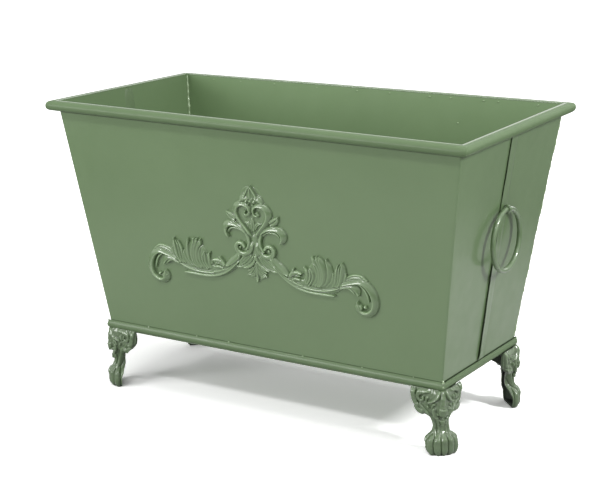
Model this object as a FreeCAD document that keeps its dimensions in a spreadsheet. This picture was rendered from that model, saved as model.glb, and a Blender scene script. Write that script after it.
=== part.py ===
import FreeCAD, Part
import math
import os
from FreeCAD import Placement, Rotation, Vector

# Rectangular sheet-metal planter with rolled rim, base bead, four cast paw feet,
# two ring handles and a cast scroll ornament on the front.
# The origin is on the floor, under the middle of the tub. X runs along the length,
# the front with the ornament faces -Y and Z is up. All sizes are in millimetres.

doc = FreeCAD.newDocument("planter")
sheet = doc.addObject("Spreadsheet::Sheet", "Sizes")

SIZES = (
    # tub
    ("overall_height", 392.0),
    ("top_length", 580.0),
    ("top_width", 287.0),
    ("base_length", 498.0),
    ("base_width", 200.0),
    ("foot_height", 79.0),
    ("sheet_thickness", 1.0),
    ("bend_radius", 3.0),
    ("cut_overrun", 5.0),
    # lap seam in the middle of each end
    ("lap_width", 12.0),
    ("lap_lead", 3.5),
    ("joggle_width", 1.5),
    ("seam_gap", 0.2),
    # rolled rim and base bead
    ("rim_diameter", 12.4),
    ("rim_sheet", 1.0),
    ("rim_seat", 0.4),
    ("bead_height", 13.0),
    ("bead_proud", 5.0),
    ("bead_sheet", 1.2),
    # floor tray
    ("floor_thickness", 1.2),
    ("floor_flange", 12.0),
    ("tray_bore_radius", 1.0),
    # fixing of the feet
    ("bolt_diameter", 6.0),
    ("bolt_clearance", 0.2),
    ("bolt_inset", 15.5),
    ("bolt_tip", 2.0),
    ("bolt_head_diameter", 11.0),
    ("bolt_head_height", 3.5),
    ("washer_diameter", 14.0),
    ("washer_thickness", 1.6),
    ("nut_width", 10.0),
    ("nut_height", 5.0),
    # ring handles and their split pins
    ("ring_outer_diameter", 82.0),
    ("ring_bar", 6.2),
    ("ring_pivot_height", 287.0),
    ("ring_clearance", 0.35),
    ("pin_wire_radius", 2.2),
    ("pin_hole_clearance", 0.2),
    ("pin_leg_gap", 0.2),
    ("pin_blend_radius", 2.8),
    ("pin_bend_radius", 2.6),
    ("pin_leg_length", 13.0),
    ("pin_leg_standoff", 0.6),
    ("pin_shoulder", 0.2),
    # cast foot, measured from the corner of the tub's lower edge
    ("foot_wing_length", 41.0),
    ("foot_wing_thickness", 6.5),
    ("foot_wing_proud", 3.5),
    ("foot_knee_depth", 27.5),
    ("foot_flange_leg", 44.0),
    ("foot_flange_thickness", 4.0),
    ("foot_leg_reach", 9.5),
    ("foot_leg_half_width", 21.0),
    ("foot_casting_wall", 3.5),
    ("foot_sole_thickness", 3.0),
    ("toe_radius", 5.6),
    ("toe_lift", 6.2),
    # cast ornament on the front
    ("ornament_module", 100.0),
    ("ornament_relief", 5.0),
)

for row, (name, value) in enumerate(SIZES, start=1):
    sheet.set(f"A{row}", name)
    sheet.set(f"B{row}", str(value))
    sheet.setAlias(f"B{row}", name)
doc.recompute()


def size(name):
    return float(sheet.get(name))


SIDES = ("front", "rear", "left", "right")
CORNERS = {
    "front_left": (-1, -1),
    "front_right": (1, -1),
    "rear_left": (-1, 1),
    "rear_right": (1, 1),
}
ENDS = {"left": -1, "right": 1}
UPRIGHT = Rotation(Vector(1, 0, 0), 90)
ALONG_X = Rotation(Vector(0, 1, 0), 90)
ALONG_Y = Rotation(Vector(1, 0, 0), -90)

# Expressions for the leaning walls
S = "Sizes."
WALL_RISE = f"({S}overall_height - {S}foot_height)"
END_SLOPE = f"(({S}top_length - {S}base_length) / 2 / {WALL_RISE})"
FRONT_SLOPE = f"(({S}top_width - {S}base_width) / 2 / {WALL_RISE})"


def half_length(level):
    return f"({S}base_length / 2 + ({level} - {S}foot_height) * {END_SLOPE})"


def half_width(level):
    return f"({S}base_width / 2 + ({level} - {S}foot_height) * {FRONT_SLOPE})"


def bind(thing, **expressions):
    for prop, expression in expressions.items():
        thing.setExpression(prop.replace("__", "."), expression)
    return thing


def place(thing, x="0", y="0", z="0", turn=None):
    if turn is not None:
        thing.Placement = Placement(Vector(), turn)
    return bind(thing, Placement__Base__x=x, Placement__Base__y=y, Placement__Base__z=z)


def boolean(kind, name, base, tool):
    thing = doc.addObject(f"Part::{kind}", name)
    thing.Base = base
    thing.Tool = tool
    return thing


def frustum(name, low, high, inset="0"):
    """Solid with the taper of the tub between two levels, drawn in from its outer faces."""
    thing = doc.addObject("Part::Wedge", name)
    bind(
        thing,
        Ymin=low, Ymax=high,
        Xmin=f"-{half_length(low)} + {inset}", Xmax=f"{half_length(low)} - {inset}",
        Zmin=f"-{half_width(low)} + {inset}", Zmax=f"{half_width(low)} - {inset}",
        X2min=f"-{half_length(high)} + {inset}", X2max=f"{half_length(high)} - {inset}",
        Z2min=f"-{half_width(high)} + {inset}", Z2max=f"{half_width(high)} - {inset}",
    )
    thing.Placement = Placement(Vector(), UPRIGHT)
    return thing


def rounded(name, base, radius):
    """The four leaning edges of a frustum rounded like the bends of the sheet."""
    doc.recompute()
    leaning = [
        (number, radius, radius)
        for number, edge in enumerate(base.Shape.Edges, start=1)
        if edge.BoundBox.ZLength > base.Shape.BoundBox.ZLength / 2
    ]
    thing = doc.addObject("Part::Fillet", name)
    thing.Base = base
    thing.Edges = leaning
    return thing


def slab(name, y_low, y_high, z_low, z_high):
    """Box across the whole length between two places in Y and two levels."""
    thing = doc.addObject("Part::Box", name)
    bind(thing, Length=f"{S}top_length * 2", Width=f"{y_high} - ({y_low})",
         Height=f"{z_high} - ({z_low})")
    return place(thing, f"-{S}top_length", y_low, z_low)


# Levels of the tub
LOW = f"{S}foot_height"
HIGH = f"{S}overall_height"
UNDER = f"({S}foot_height - {S}cut_overrun)"
OVER = f"({S}overall_height + {S}cut_overrun)"
bend = size("bend_radius")
inner_bend = bend - size("sheet_thickness")


def sheet_shell(name, low, high, low_cut, high_cut, outer_inset, inner_inset, outer_bend, bore_bend):
    outside = rounded(f"{name}_outside", frustum(f"{name}_block", low, high, outer_inset), outer_bend)
    inside = rounded(f"{name}_inside", frustum(f"{name}_core", low_cut, high_cut, inner_inset), bore_bend)
    return boolean("Cut", f"{name}_shell", outside, inside)


def pin_hole(name):
    thing = doc.addObject("Part::Cylinder", name)
    bind(thing, Radius=f"{S}pin_wire_radius + {S}pin_hole_clearance", Height=f"{S}top_length * 2")
    return place(thing, f"-{S}top_length", "0", f"{S}ring_pivot_height", ALONG_X)


# Front and rear sheets, each bent to a U, lapped in the middle of both ends
NO_INSET = "0"
ONE_SHEET = f"{S}sheet_thickness"
tub = sheet_shell("tub", LOW, HIGH, UNDER, OVER, NO_INSET, ONE_SHEET, bend, inner_bend)
seam = f"({S}lap_width - {S}lap_lead)"
front_zone = slab("front_zone", f"-{S}top_width", seam, UNDER, OVER)
front_sheet = boolean("Common", "front_sheet", tub, front_zone)
wall_front = boolean("Cut", "wall_front", front_sheet, pin_hole("front_pin_hole"))

rear_zone = slab("rear_zone", f"{seam} + {S}seam_gap", f"{S}top_width", UNDER, OVER)
rear_sheet = boolean("Common", "rear_sheet", tub, rear_zone)
LAP_LOW = f"({S}foot_height + {S}bead_height)"
LAP_HIGH = f"({S}overall_height - {S}rim_diameter)"
lap_skin = sheet_shell("lap", LOW, HIGH, UNDER, OVER, f"-{S}sheet_thickness", NO_INSET,
                       bend + size("sheet_thickness"), bend)
lap_zone = slab("lap_zone", f"-{S}lap_lead", f"{seam} + {S}seam_gap + {S}joggle_width",
                LAP_LOW, LAP_HIGH)
lap_strips = boolean("Common", "lap_strips", lap_skin, lap_zone)
rear_joined = boolean("Fuse", "rear_joined", rear_sheet, lap_strips)
wall_rear = boolean("Cut", "wall_rear", rear_joined, pin_hole("rear_pin_hole"))


# Rolled rim and base bead: eight hollow strips, mitred at the corners
def mitre(name, side, level, depth, thickness_low, thickness_high):
    """Trapezoid with ends at 45 degrees that trims one strip of the frame."""
    thing = doc.addObject("Part::Wedge", name)
    along_x = side in ("front", "rear")
    run = half_length(level) if along_x else half_width(level)
    wall = half_width(level) if along_x else half_length(level)
    bind(
        thing,
        Ymin=f"{wall} - {S}cut_overrun", Ymax=f"{wall} + {depth} + {S}cut_overrun",
        Xmin=f"-({run} - {S}cut_overrun)", Xmax=f"{run} - {S}cut_overrun",
        X2min=f"-({run} + {depth} + {S}cut_overrun)", X2max=f"{run} + {depth} + {S}cut_overrun",
        Zmin=thickness_low, Zmax=thickness_high, Z2min=thickness_low, Z2max=thickness_high,
    )
    turns = {"rear": 0, "left": 90, "front": 180, "right": 270}
    thing.Placement = Placement(Vector(), Rotation(Vector(0, 0, 1), turns[side]))
    return thing


def strip(name, side, radius, shell, level, centre_out, depth):
    """Hollow round strip along one side, its back trimmed to the leaning wall."""
    along_x = side in ("front", "rear")
    sign = "-" if side in ("front", "left") else ""
    run = half_length(level) if along_x else half_width(level)
    wall = half_width(level) if along_x else half_length(level)
    reach = f"({run} + {depth} + {S}cut_overrun)"
    across = f"{sign}({wall} + {centre_out})"
    tubes = []
    for label, size_text in (("outer", radius), ("bore", f"{radius} - {shell}")):
        tube = doc.addObject("Part::Cylinder", f"{name}_{label}")
        bind(tube, Radius=size_text, Height=f"2 * {reach}")
        if along_x:
            place(tube, f"-{reach}", across, level, ALONG_X)
        else:
            place(tube, across, f"-{reach}", level, ALONG_Y)
        tubes.append(tube)
    pipe = boolean("Cut", f"{name}_pipe", *tubes)
    block = mitre(f"{name}_mitre", side, level, depth, f"{level} - {radius} - {S}cut_overrun",
                  f"{level} + {radius} + {S}cut_overrun")
    trimmed = boolean("Common", f"{name}_trimmed", pipe, block)
    return boolean("Cut", name, trimmed, frustum(f"{name}_wall", UNDER, OVER))


RIM_LEVEL = f"({S}overall_height - {S}rim_diameter / 2)"
BEAD_LEVEL = f"({S}foot_height + {S}bead_height / 2)"
kept = [wall_front, wall_rear]
for side in SIDES:
    kept.append(strip(f"rim_{side}", side, f"{S}rim_diameter / 2", f"{S}rim_sheet", RIM_LEVEL,
                      f"({S}rim_diameter / 2 - {S}rim_seat)", f"{S}rim_diameter"))
for side in SIDES:
    kept.append(strip(f"base_bead_{side}", side, f"{S}bead_height / 2", f"{S}bead_sheet", BEAD_LEVEL,
                      f"({S}bead_proud - {S}bead_height / 2)", f"{S}bead_proud"))


def group_of(name, members):
    group = doc.addObject("Part::Compound", name)
    group.Links = members
    return group


# Floor tray with four bolt holes
def corner_cylinders(name, radius, height, level):
    """Four equal upright cylinders over the bolts of the feet."""
    cylinders = []
    for corner, (along, across) in CORNERS.items():
        thing = doc.addObject("Part::Cylinder", f"{name}_{corner}")
        bind(thing, Radius=radius, Height=height)
        cylinders.append(place(thing, *bolt_place(along, across), level))
    return group_of(name, cylinders)


def bolt_place(along, across):
    return (f"{along} * ({S}base_length / 2 - {S}bolt_inset)",
            f"{across} * ({S}base_width / 2 - {S}bolt_inset)")


BOLT_HOLE = f"({S}bolt_diameter / 2 + {S}bolt_clearance)"
tray_floor = f"({S}foot_height + {S}floor_thickness)"
tray_high = f"({S}foot_height + {S}floor_flange)"
tray_skin = f"({S}sheet_thickness + {S}floor_thickness)"
tray = sheet_shell("tray", LOW, tray_high, tray_floor, f"({tray_high} + {S}cut_overrun)",
                   ONE_SHEET, tray_skin, inner_bend, size("tray_bore_radius"))
floor_holes = corner_cylinders("floor_hole", BOLT_HOLE, f"{S}floor_thickness + 2 * {S}cut_overrun", UNDER)
floor_plate = boolean("Cut", "floor_plate", tray, floor_holes)
kept.append(floor_plate)


# Bolts, washers and nuts of the feet, one of each per corner
head_level = f"({tray_floor} + {S}washer_thickness)"
nut_level = f"({S}foot_height - {S}foot_flange_thickness - {S}nut_height)"
shank_level = f"({nut_level} - {S}bolt_tip)"
bolts, washers, nuts = [], [], []
for corner, (along, across) in CORNERS.items():
    spot = bolt_place(along, across)
    head = doc.addObject("Part::Cylinder", f"bolt_head_{corner}")
    bind(head, Radius=f"{S}bolt_head_diameter / 2", Height=f"{S}bolt_head_height")
    place(head, *spot, head_level)
    shank = doc.addObject("Part::Cylinder", f"bolt_shank_{corner}")
    bind(shank, Radius=f"{S}bolt_diameter / 2", Height=f"{head_level} - {shank_level}")
    place(shank, *spot, shank_level)
    bolts.append(boolean("Fuse", f"bolt_{corner}", head, shank))
    disc = doc.addObject("Part::Cylinder", f"washer_disc_{corner}")
    bind(disc, Radius=f"{S}washer_diameter / 2", Height=f"{S}washer_thickness")
    place(disc, *spot, tray_floor)
    eye = doc.addObject("Part::Cylinder", f"washer_eye_{corner}")
    bind(eye, Radius=BOLT_HOLE, Height=f"{S}washer_thickness + 2 * {S}cut_overrun")
    place(eye, *spot, f"{tray_floor} - {S}cut_overrun")
    washers.append(boolean("Cut", f"washer_{corner}", disc, eye))
    hexagon = doc.addObject("Part::Prism", f"nut_body_{corner}")
    hexagon.Polygon = 6
    bind(hexagon, Circumradius=f"{S}nut_width / 2 / cos(30)", Height=f"{S}nut_height")
    place(hexagon, *spot, nut_level)
    thread = doc.addObject("Part::Cylinder", f"nut_thread_{corner}")
    bind(thread, Radius=f"{S}bolt_diameter / 2", Height=f"{S}nut_height + 2 * {S}cut_overrun")
    place(thread, *spot, f"{nut_level} - {S}cut_overrun")
    nuts.append(boolean("Cut", f"nut_{corner}", hexagon, thread))
kept += [group_of("foot_bolts", bolts), group_of("foot_washers", washers), group_of("foot_nuts", nuts)]


# Ring handles
pivot = size("ring_pivot_height")
end_slope = (size("top_length") - size("base_length")) / 2 / (size("overall_height") - size("foot_height"))
eye_radius = size("ring_bar") / 2 + size("ring_clearance")
blend = size("pin_blend_radius")
leg_offset = size("pin_leg_gap") / 2
blend_run = math.sqrt((eye_radius + blend) ** 2 - (leg_offset + blend) ** 2)
pin_reach = f"({S}sheet_thickness + {blend_run} + {S}pin_shoulder)"
for end, sign in ENDS.items():
    ring = doc.addObject("Part::Torus", f"ring_{end}")
    bind(ring, Radius1=f"({S}ring_outer_diameter - {S}ring_bar) / 2", Radius2=f"{S}ring_bar / 2")
    place(ring, f"{sign} * ({half_length(S + 'ring_pivot_height')} + {pin_reach})", "0",
          f"{S}ring_pivot_height - ({S}ring_outer_diameter - {S}ring_bar) / 2", ALONG_X)
    kept.append(ring)


def arc(start, middle, end):
    return Part.Arc(start, middle, end).toShape()


def line(start, end):
    return Part.LineSegment(start, end).toShape()


# Split pins: half-round wire, bent to an eye round the ring's bar, with two legs
# that pass the lap seam and are opened up and down along the inside of the wall
def split_pin():
    wire = size("pin_wire_radius")
    bend_in = size("pin_bend_radius")
    lean = math.atan(end_slope)
    inner_face = -(blend_run + size("pin_shoulder") + 2 * size("sheet_thickness"))
    off_wall = wire + size("pin_leg_standoff")
    lean_cos, lean_sin = math.cos(lean), math.sin(lean)
    along_wall = Vector(lean_sin, 0, lean_cos)

    def leg(side):
        """Points of one leg from its tip to the eye: side is 1 for the upper, -1 for the lower."""
        middle_z = side * (leg_offset + bend_in)
        bend_x = (inner_face + bend_in * lean_cos
                  - (off_wall - (middle_z + bend_in * lean_sin) * lean_sin) / lean_cos)
        centre = Vector(bend_x, 0, middle_z)
        leg_start = centre + Vector(-bend_in * lean_cos, 0, bend_in * lean_sin)
        tip = leg_start + along_wall * side * size("pin_leg_length")
        bend_end = Vector(bend_x, 0, side * leg_offset)
        half_way = (leg_start - centre) + (bend_end - centre)
        bend_middle = centre + half_way.normalize() * bend_in
        blend_centre = Vector(-blend_run, 0, side * (leg_offset + blend))
        blend_start = Vector(-blend_run, 0, side * leg_offset)
        blend_end = blend_centre * (eye_radius / (eye_radius + blend))
        toward = (blend_start - blend_centre) + (blend_end - blend_centre)
        blend_middle = blend_centre + toward.normalize() * blend
        return tip, leg_start, bend_middle, bend_end, blend_start, blend_middle, blend_end

    upper = leg(1)
    lower = leg(-1)
    edges = [
        line(upper[0], upper[1]), arc(upper[1], upper[2], upper[3]), line(upper[3], upper[4]),
        arc(upper[4], upper[5], upper[6]), arc(upper[6], Vector(eye_radius, 0, 0), lower[6]),
        arc(lower[6], lower[5], lower[4]), line(lower[4], lower[3]),
        arc(lower[3], lower[2], lower[1]), line(lower[1], lower[0]),
    ]
    spine = Part.Wire(edges)
    to_wall = Vector(lean_cos, 0, -lean_sin)
    flat_side = Vector(0, wire, 0)
    top = upper[0] + to_wall * wire
    half_round = Part.Wire([
        arc(upper[0] + flat_side, top, upper[0] - flat_side),
        line(upper[0] - flat_side, upper[0] + flat_side),
    ])
    pipe = Part.BRepOffsetAPI.MakePipeShell(spine)
    pipe.setBiNormalMode(Vector(0, 1, 0))
    pipe.add(half_round)
    pipe.build()
    pipe.makeSolid()
    return pipe.shape()


def feature(name, shape, placement):
    thing = doc.addObject("Part::Feature", name)
    thing.Shape = shape
    thing.Placement = placement
    kept.append(thing)
    return thing


wall_at_pivot = size("base_length") / 2 + (pivot - size("foot_height")) * end_slope
eye_x = wall_at_pivot + size("sheet_thickness") + blend_run + size("pin_shoulder")
pin_shape = split_pin()
for end, sign in ENDS.items():
    half_turn = Rotation(Vector(0, 0, 1), 0 if sign > 0 else 180)
    feature(f"ring_pin_{end}", pin_shape.copy(), Placement(Vector(sign * eye_x, 0, pivot), half_turn))


# Cast feet. The foot's own frame has its origin on the floor under the tub's corner;
# its X axis points outward along the diagonal. Levels are shares of the foot's height,
# outlines are shares of the wing and of the leg's reach and half width.
WING_OUTLINE_SHARES = ((0.0, 0.0), (1.0, 0.0), (1.0, 0.2), (0.97, 0.36), (0.76, 0.66), (0.72, 0.9),
                       (0.57, 0.97), (0.42, 1.0), (0.2, 1.05), (0.0, 1.1))
LEG_LEVEL_SHARES = (0.0, 0.04, 0.12, 0.22, 0.3, 0.38, 0.455, 0.57, 0.7, 0.84, 1.0)
LEG_NOSE_SHARES = (0.72, 0.95, 1.0, 0.85, 0.42, -0.1, -0.12, 0.16, 0.53, 0.79, 0.2)
LEG_BACK_SHARES = (-1.25, -1.25, -1.25, -1.35, -1.5, -1.6, -1.6, -1.4, -1.1, -0.85, -0.85)
LEG_WIDTH_SHARES = (0.88, 0.98, 1.0, 0.86, 0.62, 0.46, 0.46, 0.57, 0.62, 0.57, 0.43)
TOE_ANGLES = (-72, -36, 0, 36, 72)
CURVE_STEPS = 6


def leg_section(level, nose, back, half_wide):
    points = []
    for step in range(CURVE_STEPS + 1):
        turn = math.pi * (step / CURVE_STEPS - 0.5)
        points.append(Vector(back + (nose - back) * math.cos(turn), half_wide * math.sin(turn), level))
    curve = Part.BSplineCurve()
    curve.interpolate(points)
    return Part.Wire([curve.toShape(), Part.LineSegment(points[-1], points[0]).toShape()])


def leg_solid(inset):
    height = size("foot_height")
    reach = size("foot_leg_reach")
    wide = size("foot_leg_half_width")
    sections = []
    for level, nose, back, width in zip(LEG_LEVEL_SHARES, LEG_NOSE_SHARES, LEG_BACK_SHARES,
                                        LEG_WIDTH_SHARES):
        open_back = size("cut_overrun") if inset else 0
        sections.append(leg_section(level * height, nose * reach - inset,
                                    back * reach - open_back, width * wide - inset))
    return Part.makeLoft(sections, True)


def foot_wing():
    """One wing of the knee: a shaped plate under the tub's lower edge."""
    top = size("foot_height")
    run = size("foot_wing_length")
    deep = size("foot_knee_depth")
    proud = size("foot_wing_proud")
    points = [
        Vector(-along * run + proud, -proud, top - down * deep)
        for along, down in WING_OUTLINE_SHARES
    ]
    face = Part.Face(Part.makePolygon(points + points[:1]))
    return face.extrude(Vector(0, size("foot_wing_thickness"), 0))


def foot_shape():
    top = size("foot_height")
    corner_turn = Rotation(Vector(0, 0, 1), 45)
    wing = foot_wing()
    wing.Placement = Placement(Vector(), corner_turn)
    other_wing = wing.mirror(Vector(), Vector(0, 1, 0))
    leg_side = size("foot_flange_leg")
    under = top - size("foot_flange_thickness")
    triangle = Part.makePolygon([Vector(0, 0, under), Vector(-leg_side, 0, under),
                                 Vector(0, leg_side, under), Vector(0, 0, under)])
    flange = Part.Face(triangle).extrude(Vector(0, 0, size("foot_flange_thickness")))
    flange.Placement = Placement(Vector(), corner_turn)
    outer_leg = leg_solid(0)
    casting = size("foot_casting_wall")
    cavity = leg_solid(casting)
    sole = size("foot_sole_thickness")
    keep = Part.makeBox(2 * leg_side, 2 * leg_side, under - sole, Vector(-leg_side, -leg_side, sole))
    leg = outer_leg.cut(cavity.common(keep))
    toe = size("toe_radius")
    solid = leg.fuse([wing, other_wing, flange])
    ring_reach = size("foot_leg_reach") - toe / 2
    ring_wide = size("foot_leg_half_width") - toe / 2
    back = LEG_BACK_SHARES[1] * size("foot_leg_reach")
    for angle in TOE_ANGLES:
        turn = math.radians(angle)
        spot = Vector(back + (ring_reach - back) * math.cos(turn), ring_wide * math.sin(turn),
                      size("toe_lift"))
        solid = solid.fuse(Part.makeSphere(toe, spot))
    inset = size("bolt_inset") * math.sqrt(2)
    hole = Part.makeCylinder(size("bolt_diameter") / 2 + size("bolt_clearance"), top,
                             Vector(-inset, 0, under - size("cut_overrun")))
    return solid.cut(hole)


foot = foot_shape()
for corner, (along, across) in CORNERS.items():
    spot = Vector(along * size("base_length") / 2, across * size("base_width") / 2, 0)
    outward = math.degrees(math.atan2(across, along))
    feature(f"foot_{corner}", foot.copy(), Placement(spot, Rotation(Vector(0, 0, 1), outward)))


# Cast ornament. Every stroke is a tapered ribbon drawn in shares of the ornament's
# module on the wall's face: across from the middle, up from the top of the base bead.
# Each point is (across, up, width).
CREST_STROKE_SHARES = (
    # heart-shaped scroll: upper curl, lobe down to the waist, lower curl
    (1.0, ((0.1, 1.835, 0.03), (0.06, 1.822, 0.045), (0.033, 1.86, 0.05), (0.04, 1.91, 0.05),
           (0.08, 1.948, 0.055), (0.13, 1.958, 0.065), (0.18, 1.95, 0.07))),
    (1.0, ((0.13, 1.958, 0.065), (0.205, 1.94, 0.075), (0.25, 1.88, 0.078), (0.245, 1.81, 0.078),
           (0.205, 1.73, 0.078), (0.14, 1.65, 0.08), (0.075, 1.57, 0.08), (0.045, 1.49, 0.078),
           (0.05, 1.4, 0.07), (0.09, 1.33, 0.065), (0.14, 1.305, 0.06))),
    (1.0, ((0.09, 1.33, 0.065), (0.155, 1.3, 0.06), (0.225, 1.32, 0.058), (0.258, 1.37, 0.055),
           (0.24, 1.42, 0.05), (0.195, 1.42, 0.045), (0.18, 1.385, 0.04))),
    # horn that leaves the waist outward
    (0.9, ((0.08, 1.56, 0.05), (0.15, 1.635, 0.07), (0.24, 1.66, 0.085), (0.33, 1.655, 0.095),
           (0.4, 1.62, 0.095), (0.43, 1.565, 0.08), (0.415, 1.52, 0.05), (0.385, 1.498, 0.015))),
    # pointed side leaf
    (0.7, ((0.26, 1.73, 0.08), (0.32, 1.76, 0.085), (0.355, 1.8, 0.05), (0.374, 1.845, 0.012))),
    # shoulder of the crown
    (0.6, ((0.02, 1.99, 0.09), (0.09, 2.035, 0.09), (0.135, 2.02, 0.07), (0.165, 1.99, 0.03))),
    # lower leaf and its strand
    (0.7, ((0.01, 1.31, 0.06), (0.06, 1.21, 0.09), (0.13, 1.145, 0.08), (0.21, 1.12, 0.05),
           (0.29, 1.1, 0.012))),
    (0.55, ((0.03, 1.29, 0.05), (0.1, 1.22, 0.08), (0.18, 1.165, 0.08), (0.255, 1.115, 0.03))),
    # bottom leaflets
    (0.6, ((0.01, 1.17, 0.03), (0.05, 1.08, 0.055), (0.09, 1.04, 0.05), (0.14, 1.015, 0.012))),
    # side lobe of the bud inside the heart
    (0.45, ((0.01, 1.62, 0.04), (0.045, 1.68, 0.04), (0.09, 1.72, 0.02))),
)
CREST_MIDDLE_SHARES = (
    (0.75, ((0.0, 1.97, 0.16), (0.0, 2.06, 0.15), (0.0, 2.12, 0.1), (0.0, 2.205, 0.012))),
    (0.8, ((0.0, 1.4, 0.1), (0.0, 1.5, 0.08), (0.0, 1.58, 0.06), (0.0, 1.7, 0.05), (0.0, 1.78, 0.015))),
    (0.65, ((0.0, 1.36, 0.06), (0.0, 1.2, 0.06), (0.0, 1.05, 0.05), (0.0, 0.945, 0.02))),
)
SCROLL_STROKE_SHARES = (
    # stem in two strands
    (0.8, ((0.235, 1.285, 0.06), (0.3, 1.19, 0.075), (0.4, 1.09, 0.085), (0.5, 1.02, 0.09),
           (0.6, 0.965, 0.09), (0.7, 0.94, 0.09), (0.8, 0.93, 0.09), (0.9, 0.93, 0.09),
           (1.0, 0.945, 0.09), (1.1, 0.97, 0.08), (1.18, 1.02, 0.06))),
    (0.55, ((0.26, 1.27, 0.06), (0.32, 1.2, 0.08), (0.39, 1.15, 0.08), (0.44, 1.115, 0.05))),
    # end scroll
    (1.0, ((1.12, 1.06, 0.05), (1.22, 1.11, 0.06), (1.34, 1.15, 0.08), (1.46, 1.155, 0.09),
           (1.56, 1.11, 0.1), (1.63, 1.03, 0.11), (1.665, 0.93, 0.1), (1.665, 0.84, 0.09),
           (1.62, 0.765, 0.085), (1.53, 0.735, 0.085), (1.455, 0.76, 0.1), (1.43, 0.82, 0.1),
           (1.42, 0.88, 0.04))),
    # curled leaf inside the end scroll
    (0.7, ((1.18, 1.035, 0.03), (1.27, 1.07, 0.045), (1.36, 1.07, 0.07), (1.42, 1.025, 0.08),
           (1.45, 0.98, 0.02))),
    # leaf behind the end scroll
    (0.4, ((1.3, 1.14, 0.06), (1.38, 1.18, 0.09), (1.48, 1.17, 0.1), (1.57, 1.16, 0.05))),
    # sprig
    (0.5, ((0.5, 1.03, 0.05), (0.52, 1.12, 0.05), (0.54, 1.19, 0.015))),
    (0.55, ((0.52, 1.02, 0.06), (0.57, 1.11, 0.06), (0.65, 1.15, 0.02))),
    # acanthus lobes, from the middle outward
    (0.55, ((0.77, 1.0, 0.05), (0.715, 1.08, 0.05), (0.72, 1.18, 0.04), (0.735, 1.245, 0.012))),
    (0.6, ((0.78, 1.0, 0.06), (0.79, 1.1, 0.08), (0.8, 1.18, 0.06), (0.785, 1.235, 0.015))),
    (0.7, ((0.82, 1.0, 0.06), (0.88, 1.1, 0.06), (0.87, 1.2, 0.06), (0.84, 1.3, 0.055),
           (0.83, 1.385, 0.05))),
    (0.8, ((0.88, 1.0, 0.08), (0.94, 1.1, 0.09), (0.95, 1.2, 0.11), (0.93, 1.3, 0.12),
           (0.905, 1.4, 0.03))),
    (0.7, ((0.96, 1.02, 0.07), (1.02, 1.12, 0.07), (1.035, 1.22, 0.07), (1.025, 1.31, 0.05),
           (1.02, 1.38, 0.015))),
    (0.55, ((1.0, 1.04, 0.06), (1.06, 1.15, 0.06), (1.08, 1.25, 0.04), (1.08, 1.31, 0.012))),
    (0.7, ((1.16, 1.04, 0.08), (1.19, 1.14, 0.12), (1.22, 1.26, 0.12), (1.245, 1.36, 0.02))),
    (0.5, ((1.14, 1.06, 0.06), (1.14, 1.17, 0.05), (1.18, 1.34, 0.015))),
    (0.5, ((1.2, 1.08, 0.06), (1.26, 1.2, 0.05), (1.29, 1.3, 0.015))),
    # web between the stem and the leaves
    (0.35, ((0.55, 1.03, 0.06), (0.7, 1.0, 0.08), (0.85, 0.99, 0.12), (1.0, 1.0, 0.14),
            (1.12, 1.03, 0.12), (1.2, 1.07, 0.04))),
)
STROKE_STEPS = 3


def smooth(points):
    """Catmull-Rom curve through the points, each with its width."""
    path = []
    last = len(points) - 1
    for index in range(last):
        before = points[max(index - 1, 0)]
        start, end = points[index], points[index + 1]
        after = points[min(index + 2, last)]
        for step in range(STROKE_STEPS):
            t = step / STROKE_STEPS
            path.append([
                0.5 * (2 * s + (e - b) * t + (2 * b - 5 * s + 4 * e - a) * t * t
                       + (3 * s - b - 3 * e + a) * t ** 3)
                for b, s, e, a in zip(before, start, end, after)
            ])
    path.append(list(points[last]))
    return path


def ribbon(points, relief, mirror):
    """Tapered ribbon with round ends along a smooth path, raised to its relief."""
    module = size("ornament_module")
    path = [(mirror * x * module, y * module, width * module / 2) for x, y, width in smooth(points)]
    last = len(path) - 1
    left, right = [], []
    for index, (x, y, half) in enumerate(path):
        x_before, y_before, _ = path[max(index - 1, 0)]
        x_after, y_after, _ = path[min(index + 1, last)]
        run = math.hypot(x_after - x_before, y_after - y_before)
        along = Vector((x_after - x_before) / run, (y_after - y_before) / run, 0)
        across = Vector(-along.y, along.x, 0)
        left.append(Vector(x, y, 0) + across * half)
        right.append(Vector(x, y, 0) - across * half)
        if index == 0:
            start_tip = Vector(x, y, 0) - along * half
        end_tip = Vector(x, y, 0) + along * half
    outline = [start_tip] + left + [end_tip] + right[::-1] + [start_tip]
    return Part.Face(Part.makePolygon(outline)).extrude(Vector(0, 0, relief))


def casting(strokes, mirrors):
    """All ribbons of one casting joined to one solid."""
    ribbons = [
        ribbon(points, share * size("ornament_relief"), mirror)
        for share, points in strokes
        for mirror in mirrors
    ]
    return ribbons[0].multiFuse(ribbons[1:]).removeSplitter()


datum = size("foot_height") + size("bead_height")
front_slope = (size("top_width") - size("base_width")) / 2 / (size("overall_height") - size("foot_height"))
datum_width = size("base_width") / 2 + size("bead_height") * front_slope
on_front = Placement(Vector(0, -datum_width, datum),
                     Rotation(Vector(1, 0, 0), 90 + math.degrees(math.atan(front_slope))))
crest = casting(CREST_STROKE_SHARES, (1, -1)).multiFuse(
    [ribbon(points, share * size("ornament_relief"), 1) for share, points in CREST_MIDDLE_SHARES]
).removeSplitter()
feature("ornament_crest", crest, on_front)
for end, sign in ENDS.items():
    feature(f"ornament_scroll_{end}", casting(SCROLL_STROKE_SHARES, (sign,)).cut(crest), on_front)

# Checks before anything is written
doc.recompute()
for thing in doc.Objects:
    if "Invalid" in thing.State or "Error" in thing.State:
        raise RuntimeError(f"{thing.Name} failed: {thing.State}")
for node in kept:
    node.Label = node.Name
    if node.Shape.isNull() or not node.Shape.isValid():
        raise RuntimeError(f"{node.Label} has no valid shape")

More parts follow.
